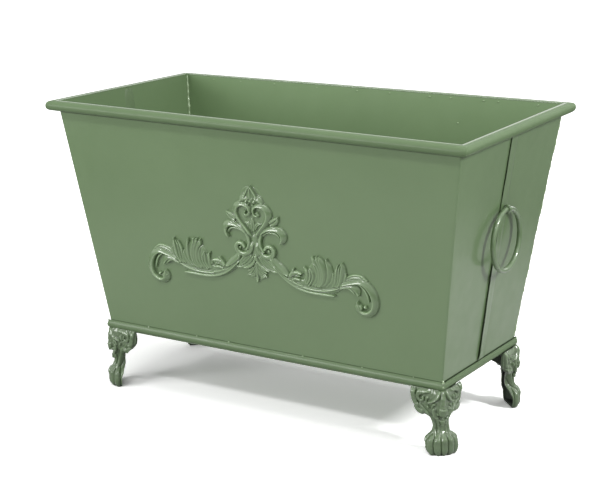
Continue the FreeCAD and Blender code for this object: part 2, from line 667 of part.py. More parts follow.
os.makedirs("parts", exist_ok=True)
for node in kept:
    node.Shape.exportStep(f"parts/{node.Label}.step")
    box = node.Shape.BoundBox
    print(f"{node.Label}: {len(node.Shape.Solids)} solids, {node.Shape.Volume:.0f} mm3, "
          f"x {box.XMin:.1f} to {box.XMax:.1f}, y {box.YMin:.1f} to {box.YMax:.1f}, "
          f"z {box.ZMin:.1f} to {box.ZMax:.1f}")
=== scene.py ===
from math import atan, atan2, cos, exp, pi, radians, sin, sqrt

import bpy
import numpy as np
from mathutils import Matrix, Vector


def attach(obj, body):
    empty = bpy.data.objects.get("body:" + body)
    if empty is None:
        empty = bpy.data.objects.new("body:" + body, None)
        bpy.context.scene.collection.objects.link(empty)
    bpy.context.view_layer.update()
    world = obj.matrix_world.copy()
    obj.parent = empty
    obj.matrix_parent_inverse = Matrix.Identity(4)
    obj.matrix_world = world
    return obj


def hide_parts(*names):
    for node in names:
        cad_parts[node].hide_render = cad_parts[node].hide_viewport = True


# The looks of a rectangular sheet-metal planter on cast paw feet.
# Lengths are worked out in millimetres and turned to metres when a mesh is made.

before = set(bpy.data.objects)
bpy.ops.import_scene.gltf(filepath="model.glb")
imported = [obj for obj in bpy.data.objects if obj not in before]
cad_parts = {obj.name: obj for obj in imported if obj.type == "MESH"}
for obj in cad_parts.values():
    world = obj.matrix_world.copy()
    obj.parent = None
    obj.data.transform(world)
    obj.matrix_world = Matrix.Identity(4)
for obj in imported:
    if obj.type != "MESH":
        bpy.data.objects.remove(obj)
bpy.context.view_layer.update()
rng = np.random.default_rng(7)
MM = 0.001

# The tub, as in the solids: levels, then lengths and widths over the walls at the top and the base
TOP, BASE = 392.0, 79.0
TOP_LENGTH, BASE_LENGTH = 580.0, 498.0
TOP_WIDTH, BASE_WIDTH = 287.0, 200.0
END_SLOPE = (TOP_LENGTH - BASE_LENGTH) / 2 / (TOP - BASE)
FRONT_SLOPE = (TOP_WIDTH - BASE_WIDTH) / 2 / (TOP - BASE)
SHEET = 1.0
BEAD_HIGH = 92.0
RIM_LOW = 379.6
PIN_LEVEL = 287.0

# Shift of the rim's corners by hand work: front left, front right, rear left, rear right
RACK = np.array([(-0.4, -0.1, 1.3), (2.0, 0.5, -1.4), (-0.5, -0.7, -1.6), (2.1, 1.2, 2.7)])
RACK_LEVEL = 385.8

# Camera: its angles in degrees, what it looks at, how far off it is, and its lens
AZIMUTH, ELEVATION, ROLL = 32.088, 14.7097, -0.56
TARGET = (-11.3973, 0.0, 202.3154)
DISTANCE = 2105.7
FOCAL_PIXELS, FRAME_PIXELS, SENSOR_WIDTH = 1609.7, 600.0, 36.0


def half_length(z):
    return BASE_LENGTH / 2 + (z - BASE) * END_SLOPE


def half_width(z):
    return BASE_WIDTH / 2 + (z - BASE) * FRONT_SLOPE


def rack(points):
    """Leans points of the tub as its rim's corners are shifted; the base stays."""
    points = np.asarray(points, float)
    across = np.clip(points[:, 0:1] / TOP_LENGTH + 0.5, -0.1, 1.1)
    deep = np.clip(points[:, 1:2] / TOP_WIDTH + 0.5, -0.1, 1.1)
    rise = np.clip((points[:, 2:3] - BASE) / (RACK_LEVEL - BASE), 0, 1.1)
    front = RACK[0] * (1 - across) + RACK[1] * across
    rear = RACK[2] * (1 - across) + RACK[3] * across
    return points + (front * (1 - deep) + rear * deep) * np.concatenate([rise ** 1.6, rise, rise], 1)


def new_object(name, data):
    thing = bpy.data.objects.new(name, data)
    bpy.context.scene.collection.objects.link(thing)
    return thing


def add_camera():
    azimuth, elevation, roll = (radians(angle) for angle in (AZIMUTH, ELEVATION, ROLL))
    back = Vector((sin(azimuth) * cos(elevation), -cos(azimuth) * cos(elevation),
                   sin(elevation)))
    place = Vector(TARGET) * MM + back * (DISTANCE * MM)
    right = Vector((0, 0, 1)).cross(back).normalized()
    up = back.cross(right)
    across = right * cos(roll) + up * sin(roll)
    above = -right * sin(roll) + up * cos(roll)
    data = bpy.data.cameras.new("camera")
    data.sensor_width = SENSOR_WIDTH
    data.lens = FOCAL_PIXELS / FRAME_PIXELS * SENSOR_WIDTH
    data.clip_start, data.clip_end = 0.05, 100.0
    camera = new_object("camera", data)
    turn = Matrix((across, above, back)).transposed()
    camera.matrix_world = Matrix.Translation(place) @ turn.to_4x4()
    bpy.context.scene.camera = camera


# Node helpers
class Nodes:
    """Short calls that add shader nodes and link them."""

    def __init__(self, tree):
        self.tree = tree
        tree.nodes.clear()

    def add(self, kind, inputs=None, **settings):
        node = self.tree.nodes.new("ShaderNode" + kind)
        for key, value in settings.items():
            setattr(node, key, value)
        for key, value in (inputs or {}).items():
            if isinstance(value, bpy.types.NodeSocket):
                self.tree.links.new(value, node.inputs[key])
            else:
                node.inputs[key].default_value = value
        return node

    def math(self, operation, first, second):
        return self.add("Math", {0: first, 1: second}, operation=operation).outputs[0]

    def noise(self, vector, scale, detail, rough=0.5):
        node = self.add("TexNoise", {"Vector": vector, "Scale": scale, "Detail": detail,
                                     "Roughness": rough})
        return node.outputs["Fac"]

    def remap(self, value, low, high, to_low=0.0, to_high=1.0):
        node = self.add("MapRange", {"Value": value, "From Min": low, "From Max": high,
                                     "To Min": to_low, "To Max": to_high}, clamp=True)
        return node.outputs["Result"]

    def mix(self, factor, first, second, share=1.0):
        """Colour from the first to the second, by a share of the factor."""
        if share != 1.0:
            factor = self.math("MULTIPLY", factor, share)
        node = self.add("Mix", data_type="RGBA", clamp_factor=True)
        for key, value in ((0, factor), (6, first), (7, second)):
            if isinstance(value, bpy.types.NodeSocket):
                self.tree.links.new(value, node.inputs[key])
            else:
                node.inputs[key].default_value = value
        return node.outputs[2]


def rgb(red, green, blue):
    """Linear colour of an 8-bit display colour."""
    def linear(value):
        value /= 255.0
        return value / 12.92 if value <= 0.04045 else ((value + 0.055) / 1.055) ** 2.4
    return (linear(red), linear(green), linear(blue), 1.0)


SAGE = rgb(102, 125, 88)


def shade(base, red, green=None, blue=None):
    """The base colour with each channel scaled."""
    green, blue = green or red, blue or red
    return (base[0] * red, base[1] * green, base[2] * blue, 1.0)


def start_material(name):
    """A new material, its node calls and the object's own coordinates."""
    material = bpy.data.materials.new(name)
    material.use_nodes = True
    nodes = Nodes(material.node_tree)
    return material, nodes, nodes.add("TexCoord").outputs["Object"]


def finish_material(nodes, colour, gloss, height, depth, sockets):
    """Shader with a bump of the given depth in metres, and plain values on its other sockets."""
    bump = nodes.add("Bump", {"Strength": 1.0, "Distance": depth, "Height": height})
    shader = nodes.add("BsdfPrincipled", {"Base Color": colour, "Roughness": gloss,
                                          "Normal": bump.outputs[0], **sockets})
    nodes.add("OutputMaterial", {"Surface": shader.outputs[0]})


def carved_shade_and_highlight(nodes, colour, gloss, base, lift):
    """Painted shade in the hollows of a carving and painted highlights on its crests, by the mesh's cavity
    values.
    """
    depth = nodes.add("Attribute", attribute_name="cavity").outputs["Fac"]
    low = nodes.remap(depth, 0.0, -1.0)
    high = nodes.remap(depth, 0.15, 1.0)
    crest = nodes.remap(depth, 0.5, 1.0)
    # painted shade: darker in the hollows
    colour = nodes.mix(low, colour, shade(base, 0.45), 0.5)
    # painted highlights: lighter on the crests by the share lift, and lighter still on the highest
    colour = nodes.mix(high, colour, shade(base, 1.5, 1.42, 1.56), lift)
    colour = nodes.mix(crest, colour, shade(base, 2.3, 2.1, 2.5), lift)
    return colour, nodes.math("ADD", gloss, nodes.math("MULTIPLY", low, 0.25))


def wear_and_shade_tone(nodes, colour, gloss, base):
    """Lighter on worn edges, and darker by the mesh's joint_and_shade values: dirt and painted shade in the
    crevices, painted shade in the lap's gap and inside the ends.
    """
    point = nodes.add("NewGeometry").outputs["Pointiness"]
    edge = nodes.remap(point, 0.53, 0.62)
    joint_and_shade = nodes.add("Attribute", attribute_name="joint_and_shade").outputs["Fac"]
    colour = nodes.mix(edge, colour, shade(base, 1.4, 1.34, 1.45), 0.3)
    # dirt and painted shade: darker toward near black by the joint_and_shade values
    colour = nodes.mix(joint_and_shade, colour, shade(base, 0.1, 0.12, 0.1))
    return colour, nodes.math("ADD", gloss, nodes.math("MULTIPLY", joint_and_shade, 0.3))


def paint(name, tint=(1.0,), rough=0.36, peel=0.5, cavity=False, grain=0.0, coat=0.6, coat_rough=0.11,
          level=0.4, lift=0.5):
    """Sprayed gloss enamel: drift of colour, mottling, orange peel and nibs. The tint scales the sage. Carved
    paints get painted shade in hollows and painted highlights on crests, by the share lift; the others get
    worn edges, dirt and painted shade.
    """
    base = shade(SAGE, *tint)
    material, nodes, where = start_material(name)
    drift = nodes.remap(nodes.noise(where, 5.5, 2.0), 0.3, 0.7)
    mottle = nodes.remap(nodes.noise(where, 75.0, 4.0, 0.6), 0.3, 0.7)
    colour = nodes.mix(drift, shade(base, 0.95), shade(base, 1.045, 1.035, 1.05))
    colour = nodes.mix(mottle, colour, shade(base, 0.92), 0.3)
    gloss = nodes.remap(nodes.noise(where, 38.0, 3.0), 0.3, 0.7, rough - 0.05, rough + 0.06)
    if cavity:
        colour, gloss = carved_shade_and_highlight(nodes, colour, gloss, base, lift)
    else:
        colour, gloss = wear_and_shade_tone(nodes, colour, gloss, base)
    # small nibs and dust caught in the paint
    nib = nodes.add("TexVoronoi", {"Vector": where, "Scale": 160.0, "Randomness": 1.0})
    chance = nodes.add("SeparateColor", {0: nib.outputs["Color"]}).outputs[0]
    rare = nodes.math("GREATER_THAN", chance, 0.95)
    dot = nodes.math("MULTIPLY", nodes.remap(nib.outputs["Distance"], 0.0, 0.07, 1.0, 0.0), rare)
    fine = nodes.noise(where, 620.0, 2.0)
    sand = nodes.noise(where, 1500.0, 3.0, 0.7)
    height = nodes.math("ADD", nodes.math("MULTIPLY", fine, peel), nodes.math("MULTIPLY", dot, 1.6))
    height = nodes.math("ADD", height, nodes.math("MULTIPLY", sand, grain))
    finish_material(nodes, colour, gloss, height, 0.04 * MM,
                    {"Specular IOR Level": level, "Coat Weight": coat, "Coat Roughness": coat_rough})
    return material


def shaded_rough_casting(name):
    """Unpainted back of a casting: dark sand-cast skin with green overspray, darkened near to black as
    painted shade in the feet's hollows.
    """
    material, nodes, where = start_material(name)
    spray = nodes.remap(nodes.noise(where, 45.0, 3.0, 0.6), 0.42, 0.62)
    colour = nodes.mix(spray, (0.012, 0.014, 0.011, 1.0), (0.035, 0.052, 0.03, 1.0))
    speck = nodes.remap(nodes.noise(where, 420.0, 2.0), 0.6, 0.72, 0.0, 0.5)
    colour = nodes.mix(speck, colour, (0.14, 0.15, 0.13, 1.0))
    sand = nodes.math("ADD", nodes.noise(where, 700.0, 4.0, 0.7), nodes.noise(where, 160.0, 2.0))
    gloss = nodes.remap(nodes.noise(where, 90.0, 2.0), 0.3, 0.7, 0.5, 0.8)
    finish_material(nodes, colour, gloss, sand, 0.3 * MM, {})
    return material


def zinc(name):
    """Zinc-plated fastener with a cloudy passivated skin."""
    material, nodes, where = start_material(name)
    cloud = nodes.remap(nodes.noise(where, 220.0, 3.0), 0.3, 0.7)
    colour = nodes.mix(cloud, (0.42, 0.43, 0.43, 1.0), (0.62, 0.62, 0.6, 1.0))
    gloss = nodes.remap(nodes.noise(where, 600.0, 3.0), 0.3, 0.7, 0.28, 0.5)
    finish_material(nodes, colour, gloss, nodes.noise(where, 1500.0, 3.0), 0.03 * MM, {"Metallic": 1.0})
    return material


# The tints make darker and lighter copies of the one sage paint: painted shade on the rim's rolls, the beads
# and the feet, painted light on the inner faces and the castings.
sheet_paint = paint("sage_sheet", rough=0.4, peel=0.35, coat_rough=0.13)
trim_shaded_paint = paint("sage_trim", (0.8,), rough=0.55, peel=0.4, coat=0.1, coat_rough=0.16, level=0.25)
bead_shaded_paint = paint("sage_bead_shaded", (0.83,), rough=0.5, peel=0.4, coat=0.15, coat_rough=0.14, level=0.28)
inner_lit_paint = paint("sage_inside_lit", (1.2,), rough=0.6, coat=0.05, coat_rough=0.3, level=0.22)
ring_paint = paint("sage_ring", rough=0.3, peel=0.3, coat=1.0, coat_rough=0.05)
cast_lit_paint = paint("sage_casting_lit", (1.08,), rough=0.3, cavity=True, grain=0.3, coat=1.0, coat_rough=0.06)
foot_shaded_paint = paint("sage_foot_shaded", (0.78,), rough=0.32, peel=0.6, cavity=True, grain=0.4, coat=0.85,
                   coat_rough=0.12, lift=0.3)
# painted highlight: the light tint stands for the glints on the solder lumps, and partly on the sealant
solder_highlight_paint = paint("sage_solder_highlight", (1.7, 1.55, 1.75), rough=0.3, coat=0.9, coat_rough=0.07)
back_casting_shaded = shaded_rough_casting("casting_back_shaded")
zinc_plate = zinc("zinc_plate")


# Mesh helpers
def piece(name, points, faces, material, nodes=(), slot=None, body="tub", attributes=None, racked=False,
          ride=True):
    """A smooth mesh from points in millimetres, which rides on its body and stands for its nodes."""
    points = rack(points) if racked else np.asarray(points)
    mesh = bpy.data.meshes.new(name)
    mesh.from_pydata((points * MM).tolist(), [], [tuple(f) for f in faces])
    for key, values in (attributes or {}).items():
        layer = mesh.attributes.new(key, "FLOAT", "POINT")
        layer.data.foreach_set("value", np.asarray(values, np.float32))
    mesh.validate()
    mesh.polygons.foreach_set("use_smooth", [True] * len(mesh.polygons))
    mesh.materials.append(material)
    thing = new_object(name, mesh)
    if ride:
        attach(thing, body)
    if nodes:
        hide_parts(*nodes)
    return thing


def second_finish(thing, material, chosen):
    """Gives the chosen faces, listed by number, another material."""
    thing.data.materials.append(material)
    marks = np.zeros(len(thing.data.polygons), np.int32)
    marks[np.asarray(chosen, int)] = 1
    thing.data.polygons.foreach_set("material_index", marks)


def sharpen(thing, angle):
    """Splits the shading at edges that turn more than the angle, in degrees."""
    thing.data.set_sharp_from_angle(angle=radians(angle))


def grid_faces(rows, columns, close_rows=False, close_columns=False):
    """Four-sided faces between points that lie row by row."""
    index = np.arange(rows * columns).reshape(rows, columns)
    if close_rows:
        index = np.vstack([index, index[:1]])
    if close_columns:
        index = np.hstack([index, index[:, :1]])
    a, b, c, d = index[:-1, :-1], index[:-1, 1:], index[1:, 1:], index[1:, :-1]
    return np.stack([a, b, c, d], -1).reshape(-1, 4)


class Builder:
    """Gathers points and faces of several parts into one mesh, each point with a value."""

    def __init__(self):
        self.points, self.faces, self.values, self.count = [], [], [], 0

    def put(self, points, faces, values=0.0):
        points = np.asarray(points, float).reshape(-1, 3)
        self.points.append(points)
        self.values.append(np.zeros(len(points)) + np.asarray(values, float).reshape(-1))
        self.faces += [tuple(int(i) + self.count for i in f) for f in faces]
        self.count += len(points)

    def grid(self, rings, close_rows=False, close_columns=False, flip=False):
        rings = np.asarray(rings, float)
        faces = grid_faces(*rings.shape[:2], close_rows, close_columns)
        self.put(rings, faces[:, ::-1] if flip else faces)

    def tube(self, rings, values=0.0):
        """Closed rings joined in a row, with a flat face at each end."""
        rings = np.asarray(rings, float)
        rows, columns = rings.shape[:2]
        faces = [tuple(f) for f in grid_faces(rows, columns, close_columns=True)]
        faces.append(tuple(range(columns))[::-1])
        faces.append(tuple(range((rows - 1) * columns, rows * columns)))
        self.put(rings, faces, values)

    def all(self):
        return np.concatenate(self.points), self.faces

    def joints(self):
        return {"joint_and_shade": np.concatenate(self.values)}


def catmull(points, steps=14):
    """Smooth curve through the points; every column is carried along."""
    points = np.asarray(points, float)
    last = len(points) - 1
    out = []
    t = np.arange(steps)[:, None] / steps
    for i in range(last):
        b, s, e, a = points[max(i - 1, 0)], points[i], points[i + 1], points[min(i + 2, last)]
        out.append(0.5 * (2 * s + (e - b) * t + (2 * b - 5 * s + 4 * e - a) * t ** 2
                          + (3 * s - b - 3 * e + a) * t ** 3))
    return np.vstack([*out, points[-1:]])


def waves(x, y, seed, sizes=(90.0, 55.0)):
    """Sum of a few smooth waves with a height near one."""
    local = np.random.default_rng(seed)
    total = 0.0
    for size in sizes:
        for _ in range(3):
            turn = local.uniform(0, pi)
            phase = local.uniform(0, 2 * pi)
            total = total + np.sin((x * cos(turn) + y * sin(turn)) * 2 * pi / size + phase)
    return total / 3.5


# Walls: two sheets, each bent to a U. Each starts on an end, at this distance from its middle toward
# the sheet's own long side; the rear sheet's lapped strip is added to it.
FRONT_START, REAR_START = -8.5, 8.7
BEND_OUTSIDE, BEND_INSIDE = 1.9, 0.9
STRAIGHT_STEPS, BEND_STEPS, LONG_STEPS = 18, 9, 72
# height of the waves on the long sides and the ends, and where they fade out
LONG_WAVE, END_WAVE = 0.22, 0.1
LEVEL_FADE, CORNER_FADE = 45.0, 60.0


def u_path(z, start, sign, radius, inset):
    """Points and normals of a sheet in plan: from the +X end, round the long side, to the -X end."""
    long_half, wide_half = half_length(z) - inset, half_width(z) - inset
    corner = long_half - radius
    climb = start + (wide_half - radius - start) * np.linspace(0, 1, STRAIGHT_STEPS)[:-1]
    bend = np.linspace(0, pi / 2, BEND_STEPS)
    end = [(long_half, y, 1.0, 0.0) for y in climb]
    end += [(corner + radius * cos(t), wide_half - radius + radius * sin(t),
             cos(t), sin(t)) for t in bend]
    end = np.array(end)
    middle = [(x, wide_half, 0.0, 1.0) for x in np.linspace(corner, -corner, LONG_STEPS)[1:-1]]
    table = np.vstack([end, middle, end[::-1] * (-1, 1, -1, 1)])
    path = np.column_stack([table[:, 0], table[:, 1] * sign, np.full(len(table), z)])
    normal = np.column_stack([table[:, 2], table[:, 3] * sign, np.zeros(len(table))])
    return path, normal


def wall_levels():
    """Heights of a wall's rows of points, closer together at the dark joints."""
    return np.concatenate([[BASE, BASE + 1.0, 89.5], np.arange(90.05, 94.6, 0.45),
                           np.linspace(96.5, 374.0, 40), np.arange(375.6, 380.2, 0.6),
                           [TOP - 0.6, TOP - 0.1]])


def crevice_shade_marks(z, run, on_side, seed):
    """How dark the outer face is at one level: dirt and painted shade in the crevices over the bead and under
    the rim.
    """
    fleck = 0.8 + 0.2 * waves(run, 0.0, seed + 1, (37.0, 11.0))
    tall = np.where(on_side, 0.5, 1.5) * fleck
    middle = np.where(on_side, 92.0, 91.2)
    low = np.clip(1.3 - np.abs(z - middle) / tall, 0, 1) * np.where(on_side, 0.8, 1.0)
    high = np.clip(1.5 - np.abs(z - 378.7) / 1.7, 0, 1)
    return np.maximum(low, high)


def wall_mesh(sign, start, seed):
    """One sheet: its outer and inner face, its edges and its joint_and_shade values, which paint shade at the
    crevices and inside the ends.
    """
    rings, marks = [], []
    for z in wall_levels():
        hold = np.clip((z - BEAD_HIGH) / LEVEL_FADE, 0, 1) * np.clip((RIM_LOW - z) / LEVEL_FADE, 0, 1)
        lines = []
        for radius, inset in ((BEND_OUTSIDE, 0.0), (BEND_INSIDE, SHEET)):
            path, normal = u_path(z, start, sign, radius, inset)
            run = np.concatenate([[0], np.cumsum(np.linalg.norm(np.diff(path, axis=0), axis=1))])
            on_side = np.abs(path[:, 1]) > half_width(z) - 4
            from_corner = np.where(on_side, half_length(z) - np.abs(path[:, 0]),
                                   half_width(z) - np.abs(path[:, 1]))
            near_edge = np.clip(np.minimum(run, run[-1] - run) / CORNER_FADE, 0, 1)
            quiet = hold * np.clip(from_corner / CORNER_FADE, 0, 1) * near_edge
            lift = waves(run, z, seed, (260.0, 150.0)) * np.where(on_side, LONG_WAVE, END_WAVE) * quiet
            lines.append(path + normal * lift[:, None])
            if inset == 0.0:
                dark = crevice_shade_marks(z, run, on_side, seed)
        # painted shade: the inner faces of both ends are darkened
        inner_end_shade = 0.28 * np.clip(1.2 - (half_length(z) - np.abs(path[:, 0])) / 6, 0, 1)
        rings.append(np.concatenate([lines[0], lines[1][::-1]]))
        marks.append(np.concatenate([dark, inner_end_shade[::-1]]))
    rings = np.array(rings)
    rows, columns = rings.shape[:2]
    half = columns // 2
    flip = sign > 0
    faces = grid_faces(rows, columns, close_columns=True)
    build = Builder()
    build.put(rings, faces[:, ::-1] if flip else faces, marks)
    build.inside = [row * columns + column for row in range(rows - 1) for column in range(half, columns)]
    for row, turn in ((0, False), (rows - 1, True)):
        first = row * columns
        strip = [(first + i, first + i + 1, first + columns - 2 - i, first + columns - 1 - i)
                 for i in range(half - 1)]
        build.faces += [s[::-1] if turn != flip else s for s in strip]
    return build


# the lapped sheet's raw edge: how far off the middle it lies at each level
LAP_EDGE = ((92, 190, 247, 268, 290, 341, 380), (-8.0, -9.2, -9.6, -10.2, -10.6, -10.0, -9.2))


def lap_strip(build, sign):
    """Lapped strip of the rear sheet on one end, standing a little off at its bowed raw edge."""
    rings, marks = [], []
    for z in np.linspace(BEAD_HIGH + 0.4, RIM_LOW - 0.3, 80):
        share = (z - BEAD_HIGH) / (RIM_LOW - BEAD_HIGH)
        # the edge gapes more toward the base, and is held close at the bead and the pin
        gape = 0.6 + 1.2 * (1 - share) ** 0.8 + 0.14 * sin(z / 17.0) + 0.1 * sin(z / 7.3)
        gape *= min(1.0, (z - BEAD_HIGH + 3) / 9) * (1 - 0.65 * exp(-((z - PIN_LEVEL) / 16) ** 2))
        edge = np.interp(z, *LAP_EDGE)
        line = np.array([(edge, 0.05 + gape), (edge + 2, 0.05 + 0.72 * gape), (edge + 5, 0.05 + 0.35 * gape),
                         (2.0, 0.06 + 0.06 * gape), (8.3, 0.06), (9.4, -0.45), (10.6, -0.98)])
        outer_line = line + (0.0, 1.0)
        outer_line[0] += (0.15, -0.25)
        ring = np.vstack([outer_line, line[::-1]])
        ring[-1] += (0.15, 0.1)
        rings.append(np.stack([sign * (half_length(z) + ring[:, 1]), ring[:, 0], np.full(len(ring), z)], -1))
        # painted shade on the raw edge and most of all under it, in the gap
        marks.append([0.35] + [0.0] * 11 + [0.7, 1.0])
    rings, marks = np.array(rings), np.array(marks)
    if sign < 0:
        rings, marks = rings[:, ::-1], marks[:, ::-1]
    build.tube(rings, marks)


def seam_seal(build, sign):
    """Thin smear of sealant over the seam on the inside of one end."""
    rings = []
    for z in np.linspace(94, 388, 90):
        wide = 9.5 + 1.2 * sin(z / 9.0 + sign) + 0.8 * sin(z / 3.7)
        middle = 4.5 + 1.1 * sin(z / 31.0)
        face = half_length(z) - SHEET
        line = [(-1.0, 0.1), (-0.8, -0.22), (0.0, -0.34), (0.8, -0.24), (1.0, 0.1)]
        rings.append([(sign * (face + up), middle + share * wide, z) for share, up in line])
    rings = np.array(rings)
    build.tube(rings[:, ::-1] if sign > 0 else rings, 0.25)


def corner_seal(build, sign):
    """Ragged run of sealant down an inner rear corner."""
    rings = []
    for z in np.linspace(94, 389, 150):
        thick = 1.8 + 0.5 * sin(z / 2.3 + sign) * sin(z / 5.1) + 0.3 * sin(z / 13.0)
        x, y = half_length(z) - SHEET - 0.5, half_width(z) - SHEET - 0.5
        rings.append([(sign * (x + thick * cos(a)), y + thick * sin(a), z)
                      for a in np.linspace(0, 2 * pi, 9)[:-1]])
    rings = np.array(rings)
    build.tube(rings[:, ::-1] if sign < 0 else rings)


def add_walls():
    sealant = Builder()
    for sign in (1, -1):
        corner_seal(sealant, sign)
    # the sealant's light paint is partly its own colour and partly painted highlight
    piece("corner_sealant", *sealant.all(), solder_highlight_paint, slot="painted_sheet", racked=True)
    front = wall_mesh(-1, FRONT_START, 11)
    rear = wall_mesh(1, REAR_START, 23)
    for sign in (1, -1):
        lap_strip(rear, sign)
        seam_seal(rear, sign)
    for name, wall in (("front", front), ("rear", rear)):
        thing = piece(f"wall_{name}_sheet", *wall.all(), sheet_paint, [f"wall_{name}"], "painted_sheet",
                      attributes=wall.joints(), racked=True)
        second_finish(thing, inner_lit_paint, wall.inside)
    sharpen(thing, 40)


add_walls()


# Rim and base bead: strips with mitred ends round the tub
def side_strip(name, side, profile, level, material, node, seed, blunt=1.2, wobble=0.12, tip=3.0,
               polished=()):
    """Strip along one side. The profile is (out of the wall's face, up from the level).

    Its outer side is drawn in by blunt near the mitred ends, over the length tip, and sways by wobble.
    Polished are the faces of the profile with the glossier finish."""
    profile = np.asarray(profile, float)
    along_x = side in ("front", "rear")
    sign = -1 if side in ("front", "left") else 1
    run_half = half_length(level) if along_x else half_width(level)
    wall = half_width(level) if along_x else half_length(level)
    ends = np.array([0, 0.5, 1, 1.8, 3, 4.5, 7, 11]) / (2 * run_half)
    shares = np.concatenate([ends, np.linspace(18 / (2 * run_half), 1 - 18 / (2 * run_half), 56),
                             1 - ends[::-1]])
    rings = []
    reach = np.abs(profile[:, 0]).max()
    for share in shares:
        near = min(share, 1 - share) * 2 * run_half
        shrink = 1 - blunt / reach * np.clip(profile[:, 0] / reach, 0, 1) ** 2 * exp(-(near / tip) ** 2)
        out = profile[:, 0] * shrink
        up = profile[:, 1]
        sway = wobble * waves(share * 2 * run_half, 0.0, seed, (150.0, 47.0)) * min(1.0, near / 25)
        run = (2 * share - 1) * (run_half + out)
        offset = sign * (wall + out + sway * (profile[:, 0] > 0.8))
        z = level + up
        rings.append(np.stack([run, offset, z], -1) if along_x else np.stack([offset, run, z], -1))
    rings = np.array(rings)
    turned = (sign > 0) == along_x
    if turned:
        rings = rings[:, ::-1]
    build = Builder()
    build.tube(rings)
    thing = piece(name, *build.all(), material, [node], "painted_sheet", racked=True)
    columns = len(profile)
    worn = [columns - 2 - c if turned else c for c in polished]
    second_finish(thing, ring_paint, [row * columns + c for row in range(len(rings) - 1) for c in worn])
    sharpen(thing, 38)


# the roll of the rim: its radius and how far out its middle lies
ROLL_RADIUS, ROLL_OUT = 6.2, 5.8
CROWN_FACES = range(1, 8)


def rim_profile():
    """Rolled edge: a narrow flat crown over the sheet's edge and the roll outside it."""
    crown = [(-1.25, -3.4), (-1.25, -0.8), (-1.12, -0.34), (-0.8, -0.06), (-0.3, 0.05), (0.6, 0.08),
             (1.5, 0.03), (2.15, -0.08), (2.5, -0.3), (2.7, -0.6)]
    roll = [(ROLL_OUT + ROLL_RADIUS * cos(angle), ROLL_RADIUS * sin(angle) - ROLL_RADIUS)
            for angle in np.linspace(radians(116), radians(-122), 32)]
    return crown + roll + [(0.9, -11.2), (-1.1, -11.0)]


# how far the bead's upper edge stands off the wall, and how much lower it lies
BEAD_TOPS = {"front": (0.7, 0.0), "rear": (0.7, 0.0), "left": (1.3, 1.3), "right": (1.3, 1.3)}


def bead_profile(gap, drop):
    """Moulding with a nose below its middle, whose upper edge stands off the leaning wall."""
    top = 1.75 + gap
    return [(top - 0.5, 12.6 - drop), (top - 0.15, 12.9 - drop), (top + 0.25, 12.8 - drop),
            (top + 0.8, 12.2 - drop), (4.0, 10.9 - 0.8 * drop), (4.7, 9.3), (5.05, 7.6), (5.1, 6.1),
            (4.75, 4.6), (4.05, 3.3), (3.1, 2.3), (2.1, 1.6), (1.2, 1.35), (0.3, 1.35), (-0.4, 1.6),
            (-0.4, 4.0), (0.5, 6.0), (1.1, 9.0), (top - 0.6, 11.4 - drop)]


for number, (side, bead_top) in enumerate(BEAD_TOPS.items()):
    side_strip(f"rim_roll_{side}", side, rim_profile(), TOP, trim_shaded_paint, f"rim_{side}", 40 + number,
               polished=CROWN_FACES)
    side_strip(f"bead_{side}", side, bead_profile(*bead_top), BASE, bead_shaded_paint, f"base_bead_{side}",
               60 + number, blunt=0.25, wobble=0.08, tip=2.0)


# Solder: places along the sides with the lumps' radius
FRONT_SPOTS = ((-185.4, 1.0), (-107.1, 0.9), (-56.4, 1.1), (55.2, 0.9), (141, 0.7), (212, 0.8))
REAR_SPOTS = (-201, -122, -35, 44, 130, 219)
RIM_SPOTS = ((-242, 0.8), (-196, 0.7), (-140, 0.9), (-71, 0.7), (-8, 0.8), (41.8, 0.8), (101.8, 1.0),
             (132.1, 0.8), (179.5, 0.9), (200.3, 0.7), (255.3, 0.9))
BEAD_SPOT_LEVEL, RIM_SPOT_LEVEL, WALL_SPOT_LEVEL = 91.9, 386.8, 355.8


def solder_places():
    """Lumps on the bead, at its corners, inside the rim and one on the rear wall."""
    out = half_width(BEAD_HIGH) + 0.9
    spots = [(x, -out, BEAD_SPOT_LEVEL, radius, 1.5) for x, radius in FRONT_SPOTS]
    spots += [(-x, out, BEAD_SPOT_LEVEL, 0.9, 1.5) for x in REAR_SPOTS]
    inside = half_width(RIM_SPOT_LEVEL) - 1.1
    for along in (-1, 1):
        for across in (-1, 1):
            lump = 1.0 if along > 0 > across else 0.6
            spots += [(along * 252.4, across * 103.4, 91.4, 1.8 * lump, 1.0),
                      (along * 253.4, across * 104.4, 86.4, 1.3 * lump, 1.0),
                      (along * 251.4, across * 102.4, 93.4, 1.1 * lump, 1.0)]
        spots += [(x, along * inside, RIM_SPOT_LEVEL, radius, 1.6) for x, radius in RIM_SPOTS]
    return spots + [(145.5, half_width(WALL_SPOT_LEVEL) - 1.1, WALL_SPOT_LEVEL, 1.0, 1.0)]


def solder_spots(spots):
    """Small lumps of solder under the paint, whose light tint is painted highlight: each spot is (x, y, z,
    radius, stretch along the wall).
    """
    local = np.random.default_rng(5)
    build = Builder()
    rows, columns = 8, 12
    for x, y, z, radius, stretch in spots:
        phase = local.uniform(0, 6.3, 2)
        rings = []
        for i in range(rows):
            tilt = pi * (i + 0.5) / rows
            turn = 2 * np.pi * np.arange(columns) / columns
            swell = 1 + 0.14 * np.sin(2 * turn + phase[0]) + 0.1 * np.sin(3 * turn + phase[1] + tilt)
            rings.append(np.stack([x + radius * stretch * sin(tilt) * np.cos(turn) * swell,
                                   y + radius * sin(tilt) * np.sin(turn) * swell,
                                   np.full(columns, z + radius * cos(tilt))], -1))
        build.tube(np.array(rings)[::-1])
    piece("solder_points", *build.all(), solder_highlight_paint, slot="painted_sheet", racked=True)


solder_spots(solder_places())


